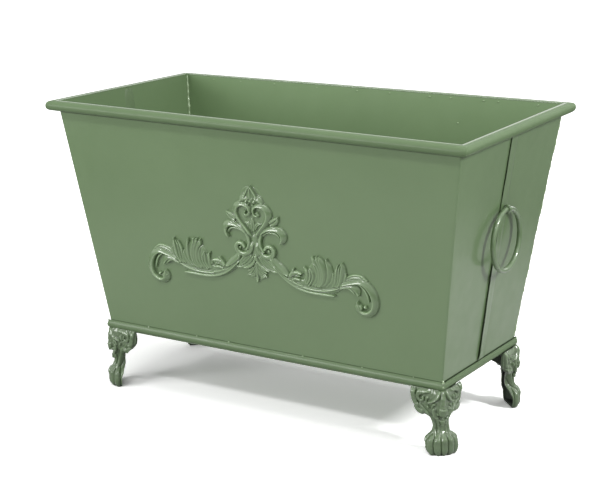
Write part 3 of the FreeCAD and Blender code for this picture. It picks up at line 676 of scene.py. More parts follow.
# Ornament and feet: relief drawn with strokes
def skewed_dome(across):
    """Round cross-section from -1 to 1 whose crest lies toward +1."""
    away = np.where(across > 0.42, (across - 0.42) / 0.58, (0.42 - across) / 1.42)
    return np.clip(1 - np.clip(away, 0, 1) ** 1.7, 0, 1)


def stroke_shape(kind, signed):
    """Height across a stroke as a share of its top, where signed runs from -1 to 1 across it."""
    rho = np.clip(np.abs(signed), 0, 1)
    dome = np.sqrt(1 - rho ** 2)
    if kind == "round":
        return 0.3 + 0.7 * dome
    if kind == "roof":
        return 0.42 + 0.58 * (1 - rho)
    if kind == "fold_l":
        return 0.25 + 0.75 * skewed_dome(-signed)
    if kind == "fold_r":
        return 0.25 + 0.75 * skewed_dome(signed)
    if kind == "leaf":
        return (0.4 + 0.6 * (1 - rho ** 2.4)) * (1 - 0.3 * np.exp(-(rho / 0.16) ** 2))
    if kind == "strands":
        comb = 0.5 + 0.5 * np.cos(signed * pi * 3)
        return (0.45 + 0.55 * (1 - rho ** 4)) * (0.78 + 0.22 * comb)
    if kind == "bowl":
        return 0.45 + 0.5 * rho ** 1.5
    return 0.6 + 0.4 * dome


# how steeply the ground falls off beside a stroke
STROKE_EDGE = 2.6


def stroke_relief(x, y, strokes, fat=1.0):
    """Height over a plane from strokes. A stroke is (kind, height, points), a point (x, y, full width)."""
    total = np.full(x.shape, -3.0)
    for kind, top, path in strokes:
        curve = catmull(path)
        half = np.maximum(curve[:, 2] * fat / 2, 0.25)
        reach = half.max() + 2.5
        near = ((x > curve[:, 0].min() - reach) & (x < curve[:, 0].max() + reach)
                & (y > curve[:, 1].min() - reach) & (y < curve[:, 1].max() + reach))
        if not near.any():
            continue
        px, py = x[near], y[near]
        start, end = curve[:-1], curve[1:]
        step = end[:, :2] - start[:, :2]
        length = np.maximum((step ** 2).sum(1), 1e-9)
        best = np.full(px.shape, 1e9)
        signed = np.zeros(px.shape)
        width = np.full(px.shape, 0.25)
        along = np.zeros(px.shape)
        total_run = np.concatenate([[0], np.cumsum(np.sqrt(length))])
        for k in range(len(start)):
            t = np.clip(((px - start[k, 0]) * step[k, 0] + (py - start[k, 1]) * step[k, 1]) / length[k], 0, 1)
            dx = px - start[k, 0] - t * step[k, 0]
            dy = py - start[k, 1] - t * step[k, 1]
            wide = half[k] + t * (half[k + 1] - half[k])
            gap = np.sqrt(dx ** 2 + dy ** 2) - wide
            closer = gap < best
            best = np.where(closer, gap, best)
            side = np.sign(step[k, 0] * dy - step[k, 1] * dx)
            signed = np.where(closer, side * np.sqrt(dx ** 2 + dy ** 2) / wide, signed)
            width = np.where(closer, wide, width)
            along = np.where(closer, (total_run[k] + t * sqrt(length[k])) / total_run[-1], along)
        fade = np.clip(along * 9, 0.35, 1)
        rise = np.clip(-best / (0.22 * width + 0.25), 0, 1) ** 0.45
        height = np.where(best < 0, top * stroke_shape(kind, signed) * fade * rise, -STROKE_EDGE * best)
        total[near] = np.maximum(total[near], height)
    return total


def blur(field, passes):
    """Softens a grid of values; each pass mixes a point with its four neighbours."""
    for _ in range(passes):
        padded = np.pad(field, 1, mode="edge")
        field = (padded[:-2, 1:-1] + padded[2:, 1:-1] + padded[1:-1, :-2] + padded[1:-1, 2:]
                 + 4 * field) / 8
    return field


FLIPPED = {"fold_l": "fold_r", "fold_r": "fold_l"}


def flipped(strokes):
    """The strokes as seen in a mirror."""
    return [(FLIPPED.get(kind, kind), top, [(-x, y, w) for x, y, w in path]) for kind, top, path in strokes]


def on_front(s, t, h):
    """From the front panel's own plane (across, up the slope from the bead, out) to the frame."""
    slope = atan(FRONT_SLOPE)
    y = -half_width(BEAD_HIGH) - t * sin(slope) - h * cos(slope)
    z = BEAD_HIGH + t * cos(slope) - h * sin(slope)
    return np.stack([s, y, z], -1)


# spacing of the ornament's points, and the height below the panel at which it is cut off
PITCH, SUNK = 0.45, -0.5


def relief_piece(name, strokes, box, node):
    """One casting of the ornament, drawn with strokes in a box (s low, s high, t low, t high)."""
    s_low, s_high, t_low, t_high = box
    s = np.arange(s_low, s_high + PITCH, PITCH)
    t = np.arange(t_low, t_high + PITCH, PITCH)
    ss, tt = np.meshgrid(s, t)
    height = stroke_relief(ss, tt, strokes, fat=1.12)
    height = np.where(height > 0.1, blur(height, 1), height)
    height = np.where(height > 0.1, height + 0.45 * (height - blur(height, 14)), height)
    height = np.maximum(height, SUNK)
    # cavity values for the painted shade in the hollows and the painted highlights on the crests
    cavity = np.clip((height - blur(height, 14)) / 0.65 + (height - blur(height, 70)) / 3.2, -1, 1)
    points = on_front(ss, tt, height)
    faces = grid_faces(len(t), len(s))
    keep = (height.reshape(-1)[faces] > SUNK + 0.01).any(1)
    faces = faces[keep]
    used = np.unique(faces)
    renumber = np.zeros(ss.size, int)
    renumber[used] = np.arange(len(used))
    piece(name, points.reshape(-1, 3)[used], renumber[faces], cast_lit_paint, [node], "painted_casting",
          attributes={"cavity": cavity.reshape(-1)[used]}, racked=True)


CREST_HALF = [
    # heart: the band falls off outward and curls in at the top
    ("fold_r", 5.8, [(3.4, 148, 5.5), (5.2, 155, 6.2), (10.8, 162.6, 7), (17.6, 170.4, 7.4),
        (22.6, 178, 7.8), (24.6, 185.6, 8.2), (22.2, 192.2, 8.2), (16.4, 196, 7.6), (9.6, 196.4, 6.4),
        (4, 193.4, 5.4), (2, 188, 5), (3.7, 183.3, 4.8), (7.8, 181.8, 4.6), (10.2, 184.2, 4),
        (9.2, 187, 3.4)]),
    ("bowl", 2.6, [(13, 190.5, 9), (15.5, 184, 10), (12.5, 176.5, 9), (7.5, 169, 6)]),
    # outer strand of the waist, lower volute and its button
    ("round", 4.6, [(13.4, 160.6, 3.4), (9.4, 154, 4.4), (7.8, 147, 4.8), (9, 140.4, 4.6),
        (12.4, 135.4, 4)]),
    ("round", 5.3, [(3, 149, 5.4), (3.8, 142, 6), (6.6, 135, 6.2), (12.2, 130.4, 6.2), (19.4, 129.2, 6.2),
        (25.4, 132.4, 6.2), (27.2, 138.4, 5.8), (23.8, 143, 5.2), (18.2, 142.8, 4.6), (15, 139, 3.8)]),
    ("round", 4.8, [(20.2, 137.2, 5.2), (20.6, 137.4, 5.2)]),
    # horn and its under strand
    ("fold_l", 5.4, [(7.5, 154, 4), (13.5, 161.8, 5.2), (21.5, 166.4, 6.2), (30, 168, 7.4),
        (37.4, 166.8, 8.8), (42.4, 162.2, 9.2), (43.2, 156.4, 8), (40.8, 151.8, 5), (37.8, 149.2, 1.4)]),
    ("round", 3.2, [(10.5, 154.6, 3), (16, 159.6, 3.2), (22.5, 162.2, 3.2), (30, 162.4, 3),
        (35.4, 160, 2.6), (38.2, 156, 1.4)]),
    # pointed side leaf
    ("leaf", 4.2, [(24.5, 173, 8), (29.6, 175.8, 10), (33.8, 179, 8), (36.2, 182, 4), (37.4, 184.6, 1)]),
    # shoulder of the crown and petals
    ("fold_l", 4.4, [(2, 201, 9), (7.5, 204.6, 9.5), (12.6, 203.2, 8), (16.8, 199.2, 3)]),
    ("round", 5.7, [(2.4, 203.4, 3.2), (3.4, 204.6, 3)]),
    ("round", 5.6, [(4.6, 200.4, 3.2), (6, 200.4, 3)]),
    ("round", 5.5, [(2.6, 197.4, 3), (3.6, 196.4, 2.6)]),
    ("round", 4.6, [(9.6, 203.4, 2.6), (7.6, 208.6, 3.2), (4.6, 213.6, 3), (1.6, 218.4, 2.2)]),
    # bud inside the heart
    ("leaf", 3.6, [(2.2, 163, 4), (4.8, 168.6, 5.4), (8.4, 171.6, 4.4), (11.4, 171.4, 1.5)]),
    # lower leaves
    ("round", 4.6, [(0.4, 131.5, 3.2), (0.6, 126, 4), (3, 120, 4.4), (7.6, 115.2, 4.6), (13, 112.2, 4.6),
        (18.4, 111, 2.4)]),
    ("leaf", 3.4, [(4, 130, 6), (9.5, 122.5, 10), (16, 116, 9.5), (23.5, 112, 6), (29.5, 110.2, 1.2)]),
    ("strands", 3.3, [(7, 130, 5), (13.5, 125, 7.5), (19.6, 119.5, 8), (25.4, 113.4, 3)]),
    # bottom leaflets
    ("leaf", 3.6, [(0.6, 118, 3.4), (4, 109.5, 6), (8, 104.2, 7), (13.4, 102.2, 2)]),
    ("round", 3.0, [(0.4, 115, 3), (2.4, 106.5, 4.4), (5.2, 102, 4.6), (9.4, 100.2, 1.6)]),
    ("round", 2.6, [(4.6, 113, 3), (9.2, 108.8, 4.4), (13.8, 106.6, 1.8)]),
]
CREST_MIDDLE = [
    ("roof", 4.4, [(0, 197, 20), (0, 203, 20), (0, 208, 17), (0, 212, 13), (0, 216.5, 7.5),
        (0, 220.8, 0.8)]),
    ("round", 5.0, [(0, 205, 3), (0, 210, 3.4), (0, 216, 3), (0, 220.4, 1.2)]),
    ("round", 5.8, [(0, 200.4, 4.2), (0, 200.6, 4.2)]),
    ("flat", 1.6, [(0, 203, 30), (0, 197, 32), (0, 188, 40), (0, 176, 34), (0, 166, 14), (0, 160, 8)]),
    ("leaf", 4.0, [(0, 160, 4.4), (0, 167, 6.6), (0, 173, 6.6), (0, 178.8, 1)]),
    ("flat", 2.6, [(0, 158, 7), (0, 150, 7), (0, 138, 8), (0, 130, 10)]),
    ("round", 3.8, [(0, 122, 4), (0, 112, 4.8), (0, 104, 4.2), (-0.4, 97, 4.2), (-0.6, 93.6, 2.2)]),
    ("flat", 1.4, [(0, 131, 20), (0, 122, 28), (0, 112, 22), (0, 104, 17)]),
]
SCROLL_HALF = [
    # stem: two beads and a short upper one on a flat web
    ("round", 4.8, [(20, 125, 2.8), (25, 119.2, 3.4), (30, 114, 3.6), (40, 105.2, 3.8), (50, 98.7, 4),
        (60, 94.6, 4.2), (70, 92.3, 4.2), (80, 91.4, 4.2), (90, 91.4, 4.2), (100, 91.6, 4),
        (111, 92, 1.4)]),
    ("round", 4.4, [(25, 122, 2.8), (33, 113.4, 3.4), (41, 106.6, 3.6), (50, 101.6, 3.8), (60, 98, 3.8),
        (71, 96.2, 3.6), (81, 95.6, 3.4), (92, 95.8, 3.2), (101, 97.2, 3), (110, 99.6, 3),
        (118, 103, 2.4)]),
    ("round", 4.8, [(46.5, 104.6, 2.4), (52, 102.2, 3.4), (58, 100, 3.2), (66, 98.6, 2)]),
    ("flat", 2.6, [(24, 121, 9), (33, 113, 10), (43, 106, 11), (55, 101, 13), (68, 99, 14), (82, 99, 15),
        (96, 99.5, 17), (108, 102, 15), (117, 105.5, 11), (124, 109, 7)]),
    # husk on the stem
    ("fold_l", 5.4, [(23.4, 130.4, 2.5), (26, 125.6, 8), (31, 120.2, 10), (36.5, 116, 10), (41, 112.8, 8),
        (45.4, 110, 4)]),
    # sprig
    ("round", 5.0, [(47, 107.4, 4.5), (52.5, 112.4, 5.6), (57.5, 114.4, 5.8), (62, 114.6, 4.6),
        (65.6, 114.4, 1.8)]),
    ("round", 4.4, [(48, 108.5, 4), (52, 113.6, 4.6), (54.6, 119.4, 2)]),
    ("round", 4.2, [(50, 103.6, 4), (56, 105.6, 5), (60.4, 105.6, 4.2), (63, 105.2, 1.6)]),
    ("round", 3.0, [(45, 106.6, 3), (51, 109.6, 3.6), (58, 110.4, 3.2), (63, 110.4, 2)]),
    # acanthus lobes from the middle outward
    ("round", 3.6, [(69, 100, 5), (72, 107, 5), (73.2, 114, 5), (72.6, 119.4, 4), (70, 124, 1.6)]),
    ("leaf", 4.7, [(72, 99, 6), (77.4, 105.6, 8), (80, 112, 9.6), (80, 117.4, 8.2), (78.4, 123.2, 1.6)]),
    ("round", 3.8, [(78, 99, 4.6), (84, 105.4, 5.2), (87.2, 112.6, 5.4), (87.4, 119.6, 5.2),
        (84.6, 127.6, 1.8)]),
    ("round", 4.5, [(81, 98, 5), (88, 104.2, 5.6), (91, 112, 5.8), (91.2, 120, 5.8), (88.6, 128, 5.8),
        (84.8, 134, 5.6), (83.2, 139, 2.4)]),
    ("round", 4.9, [(84, 98, 5), (91.4, 104.2, 6), (94.6, 112, 6.4), (95, 120.4, 6.4), (93.2, 128.6, 6.4),
        (90, 134.8, 6), (88.6, 139.8, 2)]),
    ("fold_r", 5.4, [(87, 98, 5), (95.4, 104.4, 7), (98.6, 112.4, 8), (98.8, 121, 8.6), (97.2, 129, 8.6),
        (94.4, 135.6, 6), (92.4, 139.8, 1.6)]),
    ("fold_r", 4.5, [(92, 99, 5), (100.6, 105.4, 6.4), (104.6, 113, 8.4), (106, 121, 9), (105.4, 128.4, 7),
        (103.4, 134, 4), (102.4, 138.4, 1.4)]),
    ("round", 3.4, [(98, 101, 4.4), (106, 107.4, 4.6), (110, 114.6, 4.8), (110.6, 120.6, 2)]),
    ("round", 3.0, [(88, 100.5, 4), (97, 101.6, 5.4), (104, 104.4, 4.6), (110.5, 109, 3.4),
        (112.2, 116.4, 3)]),
    # separate leaf
    ("round", 3.6, [(107, 101, 4), (112, 108, 4.4), (114, 116, 4.4), (115.2, 124, 4), (118.4, 133, 1.4)]),
    ("round", 4.0, [(110, 101, 4), (116, 108, 4.4), (118, 117, 4.4), (119.4, 126, 4), (121.6, 133, 1.6)]),
    ("fold_r", 5.1, [(114, 101, 5), (120, 107.4, 7), (122.8, 115.4, 8), (124.6, 123.4, 8.4),
        (125.2, 130.4, 6), (124.4, 136.6, 1.4)]),
    ("round", 3.8, [(119, 105, 4), (125, 111, 5), (127.4, 117.4, 5), (128.6, 123, 2)]),
    # web under the lobes
    ("flat", 2.8, [(70, 104, 8), (78, 108, 18), (86, 114, 24), (93, 118, 30), (100, 116, 22),
        (105, 110, 10)]),
    ("flat", 2.6, [(112, 105, 10), (119, 114, 14), (123, 123, 9)]),
    # broad leaf behind the end scroll
    ("strands", 3.2, [(120, 109, 5), (130, 115, 8), (139, 119, 9.6), (148, 120, 8.6), (156, 117.4, 4)]),
    # end scroll with its bulb, ball and inner fillet
    ("fold_l", 6.2, [(112, 103.4, 4), (120, 107.4, 5.4), (129, 111, 6), (138.6, 113.8, 6.8),
        (148, 115.6, 8), (156, 112.8, 9), (162.4, 106, 9.4), (166, 97.6, 9.4), (166.8, 88.6, 9),
        (164, 80.4, 8.6), (157.6, 74.8, 8.4), (149.8, 73.8, 8), (144.4, 77, 9), (142.8, 82.2, 9),
        (142.4, 88.2, 3)]),
    ("round", 5.9, [(143.6, 80.6, 10.5), (144, 81.2, 10.5)]),
    ("round", 4.6, [(152.2, 82, 5), (152.8, 83, 4.6)]),
    ("round", 3.4, [(139, 112.6, 2.4), (147, 111, 2.8), (153.2, 105.6, 3), (156.8, 98.4, 2.8),
        (158.6, 91, 1.8)]),
    # drooping leaf
    ("fold_l", 4.8, [(116, 101.6, 4.5), (122.5, 105.2, 5.4), (130, 108, 6.4), (137.4, 107.8, 8.6),
        (142.4, 104, 9), (145, 97.6, 2.4)]),
    ("round", 4.6, [(122, 102.8, 2.4), (129.5, 105.6, 3.2), (135, 103.6, 3.2), (140, 99.2, 1.8)]),
    ("flat", 1.8, [(118, 106, 9), (127, 110, 9), (136, 112.4, 9), (144, 112.6, 7)]),
]
CREST = CREST_HALF + flipped(CREST_HALF) + CREST_MIDDLE
relief_piece("crest_casting", CREST, (-50, 50, 88, 226), "ornament_crest")
relief_piece("scroll_casting_right", SCROLL_HALF, (15, 176, 64, 144), "ornament_scroll_right")
relief_piece("scroll_casting_left", flipped(SCROLL_HALF), (-176, -15, 64, 144), "ornament_scroll_left")

# Feet: hollow castings. In the foot's own frame X points outward along the diagonal.
FOOT_LEVELS = np.array([0.0, 1.2, 3.5, 6.5, 10, 14, 17.5, 20, 24, 28, 31, 36, 41, 45, 50, 55, 60, 66,
                        72, 76, 79])
FOOT_NOSE = np.array([4.5, 6.2, 7.8, 8.8, 9.1, 9.2, 9.2, 9.0, 7.0, 3.8, 2.0, 1.7, 1.7, 2.4, 3.0, 3.2, 3.8,
                      4.0, 3.7, 2.6, 1.4])
FOOT_BACK = np.interp(FOOT_LEVELS, (0, 14, 20, 24, 28, 31, 79), (-5.0, -5.0, -8.0, -9.4, -11.2, -12.5, -12.0))
FOOT_HALF = np.array([15.4, 17.2, 18.6, 19.6, 20.4, 20.4, 19.6, 18.2, 14.2, 10.2, 8.2, 7.3, 7.5, 8.4,
                      10.8, 14, 17, 19, 20, 20, 20])
WING_LEVELS = np.array([46, 50, 51, 52, 54, 58, 62, 66, 70, 75, 79.0])
WING_REACH = np.array([14, 17, 21, 26, 31.5, 35.5, 39.0, 40.5, 41.2, 41.4, 40.4])
KNEE_HALF = [
    # border of the wing and its hanging lobe
    ("round", 4.4, [(37.6, 80, 7), (38.6, 74, 7.6), (37.6, 68.6, 8), (36.4, 63.4, 7.6), (33, 60.2, 7)]),
    ("round", 4.6, [(35.4, 59.6, 6), (33.4, 55.6, 7.6), (29, 52.8, 7.6), (25, 54.4, 6)]),
    # curled scroll on the wing
    ("round", 4.4, [(12, 79, 5), (17.6, 78.4, 5.6), (24, 77.4, 5.8), (30.4, 75.4, 6), (32.6, 70.6, 5.6),
        (29.4, 66.8, 5), (25.2, 68, 4.4), (25.2, 71.4, 4)]),
    ("round", 3.8, [(17.4, 72.6, 4.4), (20.4, 70.4, 4.4), (20.8, 66.8, 3.6)]),
    # broad band from the wing down the leg into the toes
    ("fold_l", 3.8, [(33.4, 62.4, 4.5), (28, 58.4, 7.4), (22, 52.8, 8.6), (16.4, 47, 9), (12.2, 40, 8),
        (10.4, 33, 7), (11.4, 26, 4.5)]),
    # eye with its brow, cheek and nostril of the mask
    ("round", 5.0, [(17, 61.2, 6.2), (17.4, 60.8, 6.2)]),
    ("fold_l", 5.0, [(3.2, 80, 4.6), (5.4, 75, 6), (9.2, 70.6, 6), (13.6, 67.8, 4.6), (17.6, 66.6, 2.6)]),
    ("round", 3.6, [(7.6, 64.8, 3.6), (11, 63.4, 4), (12.6, 59.4, 3)]),
    ("fold_r", 4.2, [(8.6, 60.2, 5), (9.6, 55.4, 6.4), (7.6, 50.6, 5.4), (4.6, 48, 3)]),
    ("round", 4.4, [(4, 53.6, 4.8), (4.6, 52.8, 4.2)]),
    # folds of the beard
    ("round", 2.6, [(2.4, 45.4, 4.4), (4.6, 43, 4.6), (3.8, 39.6, 3.4)]),
    ("round", 1.4, [(5.0, 41, 3.6), (4.4, 34, 3.6), (5, 28, 2.4)]),
]
KNEE_MIDDLE = [
    ("roof", 4.2, [(0, 80, 5), (0, 73, 7), (0, 66, 7), (0, 60, 9)]),
    ("round", 5.4, [(0, 60, 8), (0, 56, 9.6), (0, 53.6, 8.4)]),
    ("round", 3.0, [(0, 44.6, 5.4), (0, 41, 5.4), (0, 38.4, 3)]),
    ("flat", 1.6, [(-34, 70, 20), (-14, 66, 28), (14, 66, 28), (34, 70, 20)]),
]
# the toes fan out by this angle around an axis behind the paw
TOE_STEP, TOE_AXIS = 30.0, 8.5
FOOT_HIGH, FOOT_SHELL = 79.0, 3.0
# how far the top edge reaches up behind the bead's nose
FOOT_LAP = 3.3
# the sole's two faces, and the flange under the floor: its leg, its lower face and its thickness
SOLE_LOW, SOLE_HIGH = 0.3, 3.0
FLANGE_LEG, FLANGE_LOW, FLANGE_THICK = 37.0, 75.6, 3.4


def foot_base(u, z):
    """Plain outer surface of the foot before it is carved."""
    nose = np.interp(z, FOOT_LEVELS, FOOT_NOSE)
    back = np.interp(z, FOOT_LEVELS, FOOT_BACK)
    half = np.interp(z, FOOT_LEVELS, FOOT_HALF)
    t = u * pi / 2
    leg = np.stack([back + (nose - back) * np.cos(t), half * np.sin(t)], -1)
    s = np.abs(u) * np.interp(z, WING_LEVELS, WING_REACH)
    side = np.sign(u)
    root = sqrt(0.5)
    bulge = nose * np.exp(-(s / 13.0) ** 2)
    far = 1 - np.exp(-(s / 6.0) ** 2)
    proud = 2.0 + 0.8 * far + 0.9 * np.clip((z - 66) / 10, 0, 1) * far
    soft = np.sqrt(s ** 2 + 9.0) - 3.0
    knee = np.stack([-soft * root + proud * root + bulge, side * s * root + side * proud * root * far], -1)
    blend = np.clip((z - 47.5) / 7.5, 0, 1)
    blend = (blend * blend * (3 - 2 * blend))[..., None]
    return leg * (1 - blend) + knee * blend


def toe_relief(plan, z):
    """Height of the five toes over the plain paw, and how near each point is to the crest of its toe."""
    angle = np.degrees(np.arctan2(plan[..., 1], plan[..., 0] + TOE_AXIS))
    offset = (angle + TOE_STEP / 2) % TOE_STEP - TOE_STEP / 2
    lobe = np.sqrt(np.clip(1 - (offset / (TOE_STEP / 2)) ** 2, 0, 1))
    knuckle = np.exp(-((z - 20.5) / 4.2) ** 2)
    tip = np.exp(-((z - 8.0) / 6.0) ** 2)
    depth = 2.6 * np.clip((34.0 - z) / 15.0, 0, 1) * np.clip((z + 2.5) / 4.0, 0, 1)
    return depth * (lobe - 0.75) + (1.6 * knuckle + 0.4 * tip) * lobe, lobe


def foot_meshes():
    """The carved shell with its cavity values, and the parts behind it, dark with painted shade."""
    rows, columns = 200, 221
    z = np.linspace(0, FOOT_HIGH, rows)[:, None] * np.ones((1, columns))
    u = np.ones((rows, 1)) * np.linspace(-1, 1, columns)[None, :]
    plan = foot_base(u, z)
    for _ in range(4):
        plan[1:-1] = (plan[:-2] + 2 * plan[1:-1] + plan[2:]) / 4
    base = np.concatenate([plan, z[..., None]], -1)
    normal = np.cross(np.gradient(base, axis=1), np.gradient(base, axis=0))
    normal /= np.maximum(np.linalg.norm(normal, axis=-1, keepdims=True), 1e-9)
    step = np.linalg.norm(np.diff(plan, axis=1), axis=-1)
    run = np.concatenate([np.zeros((rows, 1)), np.cumsum(step, axis=1)], axis=1)
    arc = run - run[:, columns // 2:columns // 2 + 1]
    carving = np.maximum(stroke_relief(arc, z, KNEE_HALF + flipped(KNEE_HALF) + KNEE_MIDDLE), 0.0)
    carving += 0.35 * (carving - blur(carving, 16))
    carving *= np.clip((z - 22) / 8, 0, 1) * (1 - 0.85 * np.clip((z - 75.5) / 3.5, 0, 1) ** 1.5)
    toes, lobe = toe_relief(plan, z)
    # uneven skin of the casting
    skin = blur(rng.normal(size=z.shape), 14)
    relief = blur(carving + toes, 2) + skin / skin.std() * (0.07 + 0.09 * np.clip((z - 45) / 10, 0, 1))
    # cavity values for the painted shade in the hollows and the painted highlights on the crests
    cavity = np.clip((relief - blur(relief, 16)) / 0.8 + (relief - blur(relief, 90)) / 2.6, -1, 1)
    outer = base + normal * relief[..., None]
    # scalloped soles: a toe reaches the floor, the groove beside it ends higher
    scallop = 2.4 * (1 - lobe) * np.clip((7 - z) / 7, 0, 1)
    outer[..., 2] = np.clip(outer[..., 2] + scallop, 0.0, FOOT_HIGH)
    outer[..., 2] += FOOT_LAP * np.clip((z - 74) / 5, 0, 1)
    inner = base - normal * FOOT_SHELL
    inner[..., 2] = z
    shell, dark = Builder(), Builder()
    shell.grid(outer)
    dark.grid(inner[::4, ::4], flip=True)
    dark.grid(np.stack([outer[0], inner[0]]), flip=True)
    # the paint reaches round the top edge and the wings' ends
    shell.grid(np.stack([outer[-1], inner[-1]]))
    shell.grid(np.stack([outer[:, 0], inner[:, 0]]))
    shell.grid(np.stack([outer[:, -1], inner[:, -1]]), flip=True)
    # the edge faces count as a little hollow: a slight painted shade
    values = np.concatenate([cavity.reshape(-1), np.full(2 * columns + 4 * rows, -0.2)])
    # sole inside the paw and the flange under the floor
    low, high = inner[6, ::6].copy(), inner[6, ::6].copy()
    low[:, 2], high[:, 2] = SOLE_LOW, SOLE_HIGH
    dark.tube(np.stack([low, high]))
    leg = FLANGE_LEG * sqrt(0.5)
    triangle = np.array([(-0.8, 0, FLANGE_LOW), (-leg, leg, FLANGE_LOW), (-leg, -leg, FLANGE_LOW)])
    dark.tube(np.stack([triangle, triangle + (0, 0, FLANGE_THICK)]))
    return shell.all(), values, dark.all()


(cast_points, cast_faces), cast_cavity, (back_points, back_faces) = foot_meshes()
foot_points = np.vstack([cast_points, back_points])
foot_faces = cast_faces + [tuple(i + len(cast_points) for i in f) for f in back_faces]
foot_values = np.concatenate([cast_cavity, np.zeros(len(back_points))])


def foot_piece(corner, along, across, shear=0.0, inset=0.0):
    """One foot. The shear pushes the paw sideways below the knee and the inset moves all of it inward."""
    outward = atan2(across, along)
    points = foot_points.copy()
    lean = np.clip((50 - points[:, 2]) / 50, 0, 1) ** 0.8 * shear
    points[:, 0] += lean * cos(outward)
    points[:, 1] -= lean * sin(outward)
    thing = piece(f"paw_{corner}", points, foot_faces, foot_shaded_paint, slot="painted_casting",
                  attributes={"cavity": foot_values}, ride=False)
    second_finish(thing, back_casting_shaded, range(len(cast_faces), len(foot_faces)))
    sharpen(thing, 60)
    turn = Matrix.Rotation(outward, 4, "Z")
    shift = inset * sqrt(0.5)
    place = Vector((along * (BASE_LENGTH / 2 - shift), across * (BASE_WIDTH / 2 - shift), 0))
    thing.matrix_world = Matrix.Translation(place * MM) @ turn
    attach(thing, "tub")
    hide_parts(f"foot_{corner}")


foot_piece("front_left", -1, -1, inset=2.6)
foot_piece("front_right", 1, -1, shear=2.8)
foot_piece("rear_left", -1, 1)
foot_piece("rear_right", 1, 1, inset=-0.8)


# Ring handles: bent bar, butted and welded at the bottom
RING_RADIUS, BAR_RADIUS, BAR_SWELL = 37.9, 3.1, 0.28
RING_PIVOT = (282.98, PIN_LEVEL)
RING_STEPS, BAR_STEPS = 120, 20


def ring_mesh(side):
    sign = 1 if side == "right" else -1
    centre = np.array([sign * RING_PIVOT[0], 0.0, RING_PIVOT[1] - RING_RADIUS])
    around = np.linspace(0, 2 * pi, BAR_STEPS, endpoint=False)
    rings = []
    for turn in np.linspace(0, 2 * pi, RING_STEPS, endpoint=False):
        # the bar is thinnest at the top, where it hangs in the eye, and narrowed a little at the weld
        away = 1 - cos(turn)
        weld = exp(-((turn - pi) / 0.07) ** 2)
        bar = BAR_RADIUS + BAR_SWELL * min(1.0, away / 0.3)
        wide = bar * (1 - 0.03 * weld) + 0.04 * sin(5 * turn)
        out = RING_RADIUS + 0.18 * sin(2 * turn + 0.6) * away / 2
        spoke = np.array([0.0, sin(turn), cos(turn)])
        rings.append([centre + spoke * (out + wide * cos(a)) + np.array([wide * sin(a), 0, 0])
                      for a in around])
    build = Builder()
    build.grid(rings, close_rows=True, close_columns=True)
    piece(f"handle_{side}", *build.all(), ring_paint, [f"ring_{side}"], "painted_sheet",
          body=f"ring_{side}")


ring_mesh("right")
ring_mesh("left")

# Solids whose shape is right keep it and get their finish
KEPT_SOLIDS = {ring_paint: ("ring_pin_left", "ring_pin_right"), sheet_paint: ("floor_plate",),
               zinc_plate: ("foot_bolts", "foot_washers", "foot_nuts")}
for material, nodes in KEPT_SOLIDS.items():
    for node in nodes:
        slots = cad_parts[node].data.materials
        slots.clear()
        slots.append(material)


# Floor, light and air
FLOOR_HALF = 30.0
# over-bright to the camera, so that the floor is white outside the object's shadow
FLOOR_WHITE = 1.6


def grey(level):
    return (level, level, level, 1.0)


def ray_kinds(nodes):
    """Whether a ray comes from the camera, and whether it comes off or through a glossy surface."""
    path = nodes.add("LightPath")
    mirror = nodes.math("MAXIMUM", path.outputs["Is Glossy Ray"], path.outputs["Is Transmission Ray"])
    return path.outputs["Is Camera Ray"], mirror


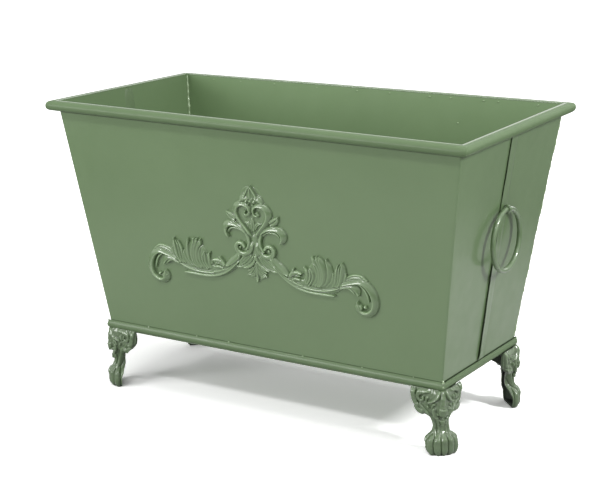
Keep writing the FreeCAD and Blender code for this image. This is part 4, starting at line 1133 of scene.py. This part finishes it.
def floor_material():
    """Pale floor: white to the camera, and grey to the light and the reflections that it sends on."""
    material, nodes, where = start_material("studio_white")
    far = nodes.add("VectorMath", {0: where}, operation="LENGTH").outputs["Value"]
    camera, mirror = ray_kinds(nodes)
    seen = nodes.math("MAXIMUM", camera, nodes.math("MULTIPLY", mirror, 0.25))
    strength = nodes.math("MULTIPLY", nodes.remap(far, 0.5, 1.6, 0.0, 0.6), seen)
    glow = nodes.add("Emission", {"Color": grey(1.0), "Strength": strength})
    sweep = nodes.mix(nodes.remap(far, 0.62, 0.95), grey(0.6), grey(0.1))
    spread = nodes.mix(nodes.remap(far, 0.35, 1.1), grey(0.3), grey(0.56))
    colour = nodes.mix(camera, nodes.mix(mirror, spread, sweep), grey(FLOOR_WHITE))
    cloth = nodes.add("BsdfDiffuse", {"Color": colour})
    both = nodes.add("AddShader", {0: cloth.outputs[0], 1: glow.outputs[0]})
    nodes.add("OutputMaterial", {"Surface": both.outputs[0]})
    return material


def add_stage():
    mesh = bpy.data.meshes.new("studio_floor")
    corners = [(x * FLOOR_HALF, y * FLOOR_HALF, 0) for x, y in ((-1, -1), (1, -1), (1, 1), (-1, 1))]
    mesh.from_pydata(corners, [], [(0, 1, 2, 3)])
    mesh.materials.append(floor_material())
    new_object("studio_floor", mesh)
    world = bpy.data.worlds.new("studio_air")
    bpy.context.scene.world = world
    world.use_nodes = True
    nodes = Nodes(world.node_tree)
    seen = nodes.math("MAXIMUM", *ray_kinds(nodes))
    strength = nodes.math("ADD", nodes.math("MULTIPLY", seen, 0.62), 0.38)
    air = nodes.add("Background", {"Color": grey(1.0), "Strength": strength})
    nodes.add("OutputWorld", {"Surface": air.outputs[0]})


def softbox(name, place, aim, size, power):
    data = bpy.data.lights.new(name, "AREA")
    data.shape = "RECTANGLE"
    data.size, data.size_y = size
    data.energy = power
    light = new_object(name, data)
    light.location = place
    light.rotation_mode = "QUATERNION"
    light.rotation_quaternion = (Vector(aim) - Vector(place)).to_track_quat("-Z", "Y")


add_stage()
softbox("side_lamp", (1.66, 0.05, 1.19), (0.28, 0, 0.24), (0.12, 0.34), 22.5)
softbox("front_box", (-1.25, -2.15, 0.7), (0, 0, 0.25), (1.3, 0.8), 34.0)
softbox("back_box", (0.3, 2.5, 1.0), (0, 0, 0.2), (1.4, 0.8), 4.0)
softbox("spark_lamp", (-1.1, -1.3, 1.5), (0, 0, 0.2), (0.2, 0.2), 2.5)
softbox("glint_lamp", (0.3, -1.6, 2.0), (0, 0, 0.2), (1.3, 0.2), 15.0)
softbox("overhead", (0.2, 0.0, 2.2), (0, 0, 0.1), (1.6, 1.6), 17.5)
add_camera()
bpy.context.scene.view_settings.view_transform = "Standard"
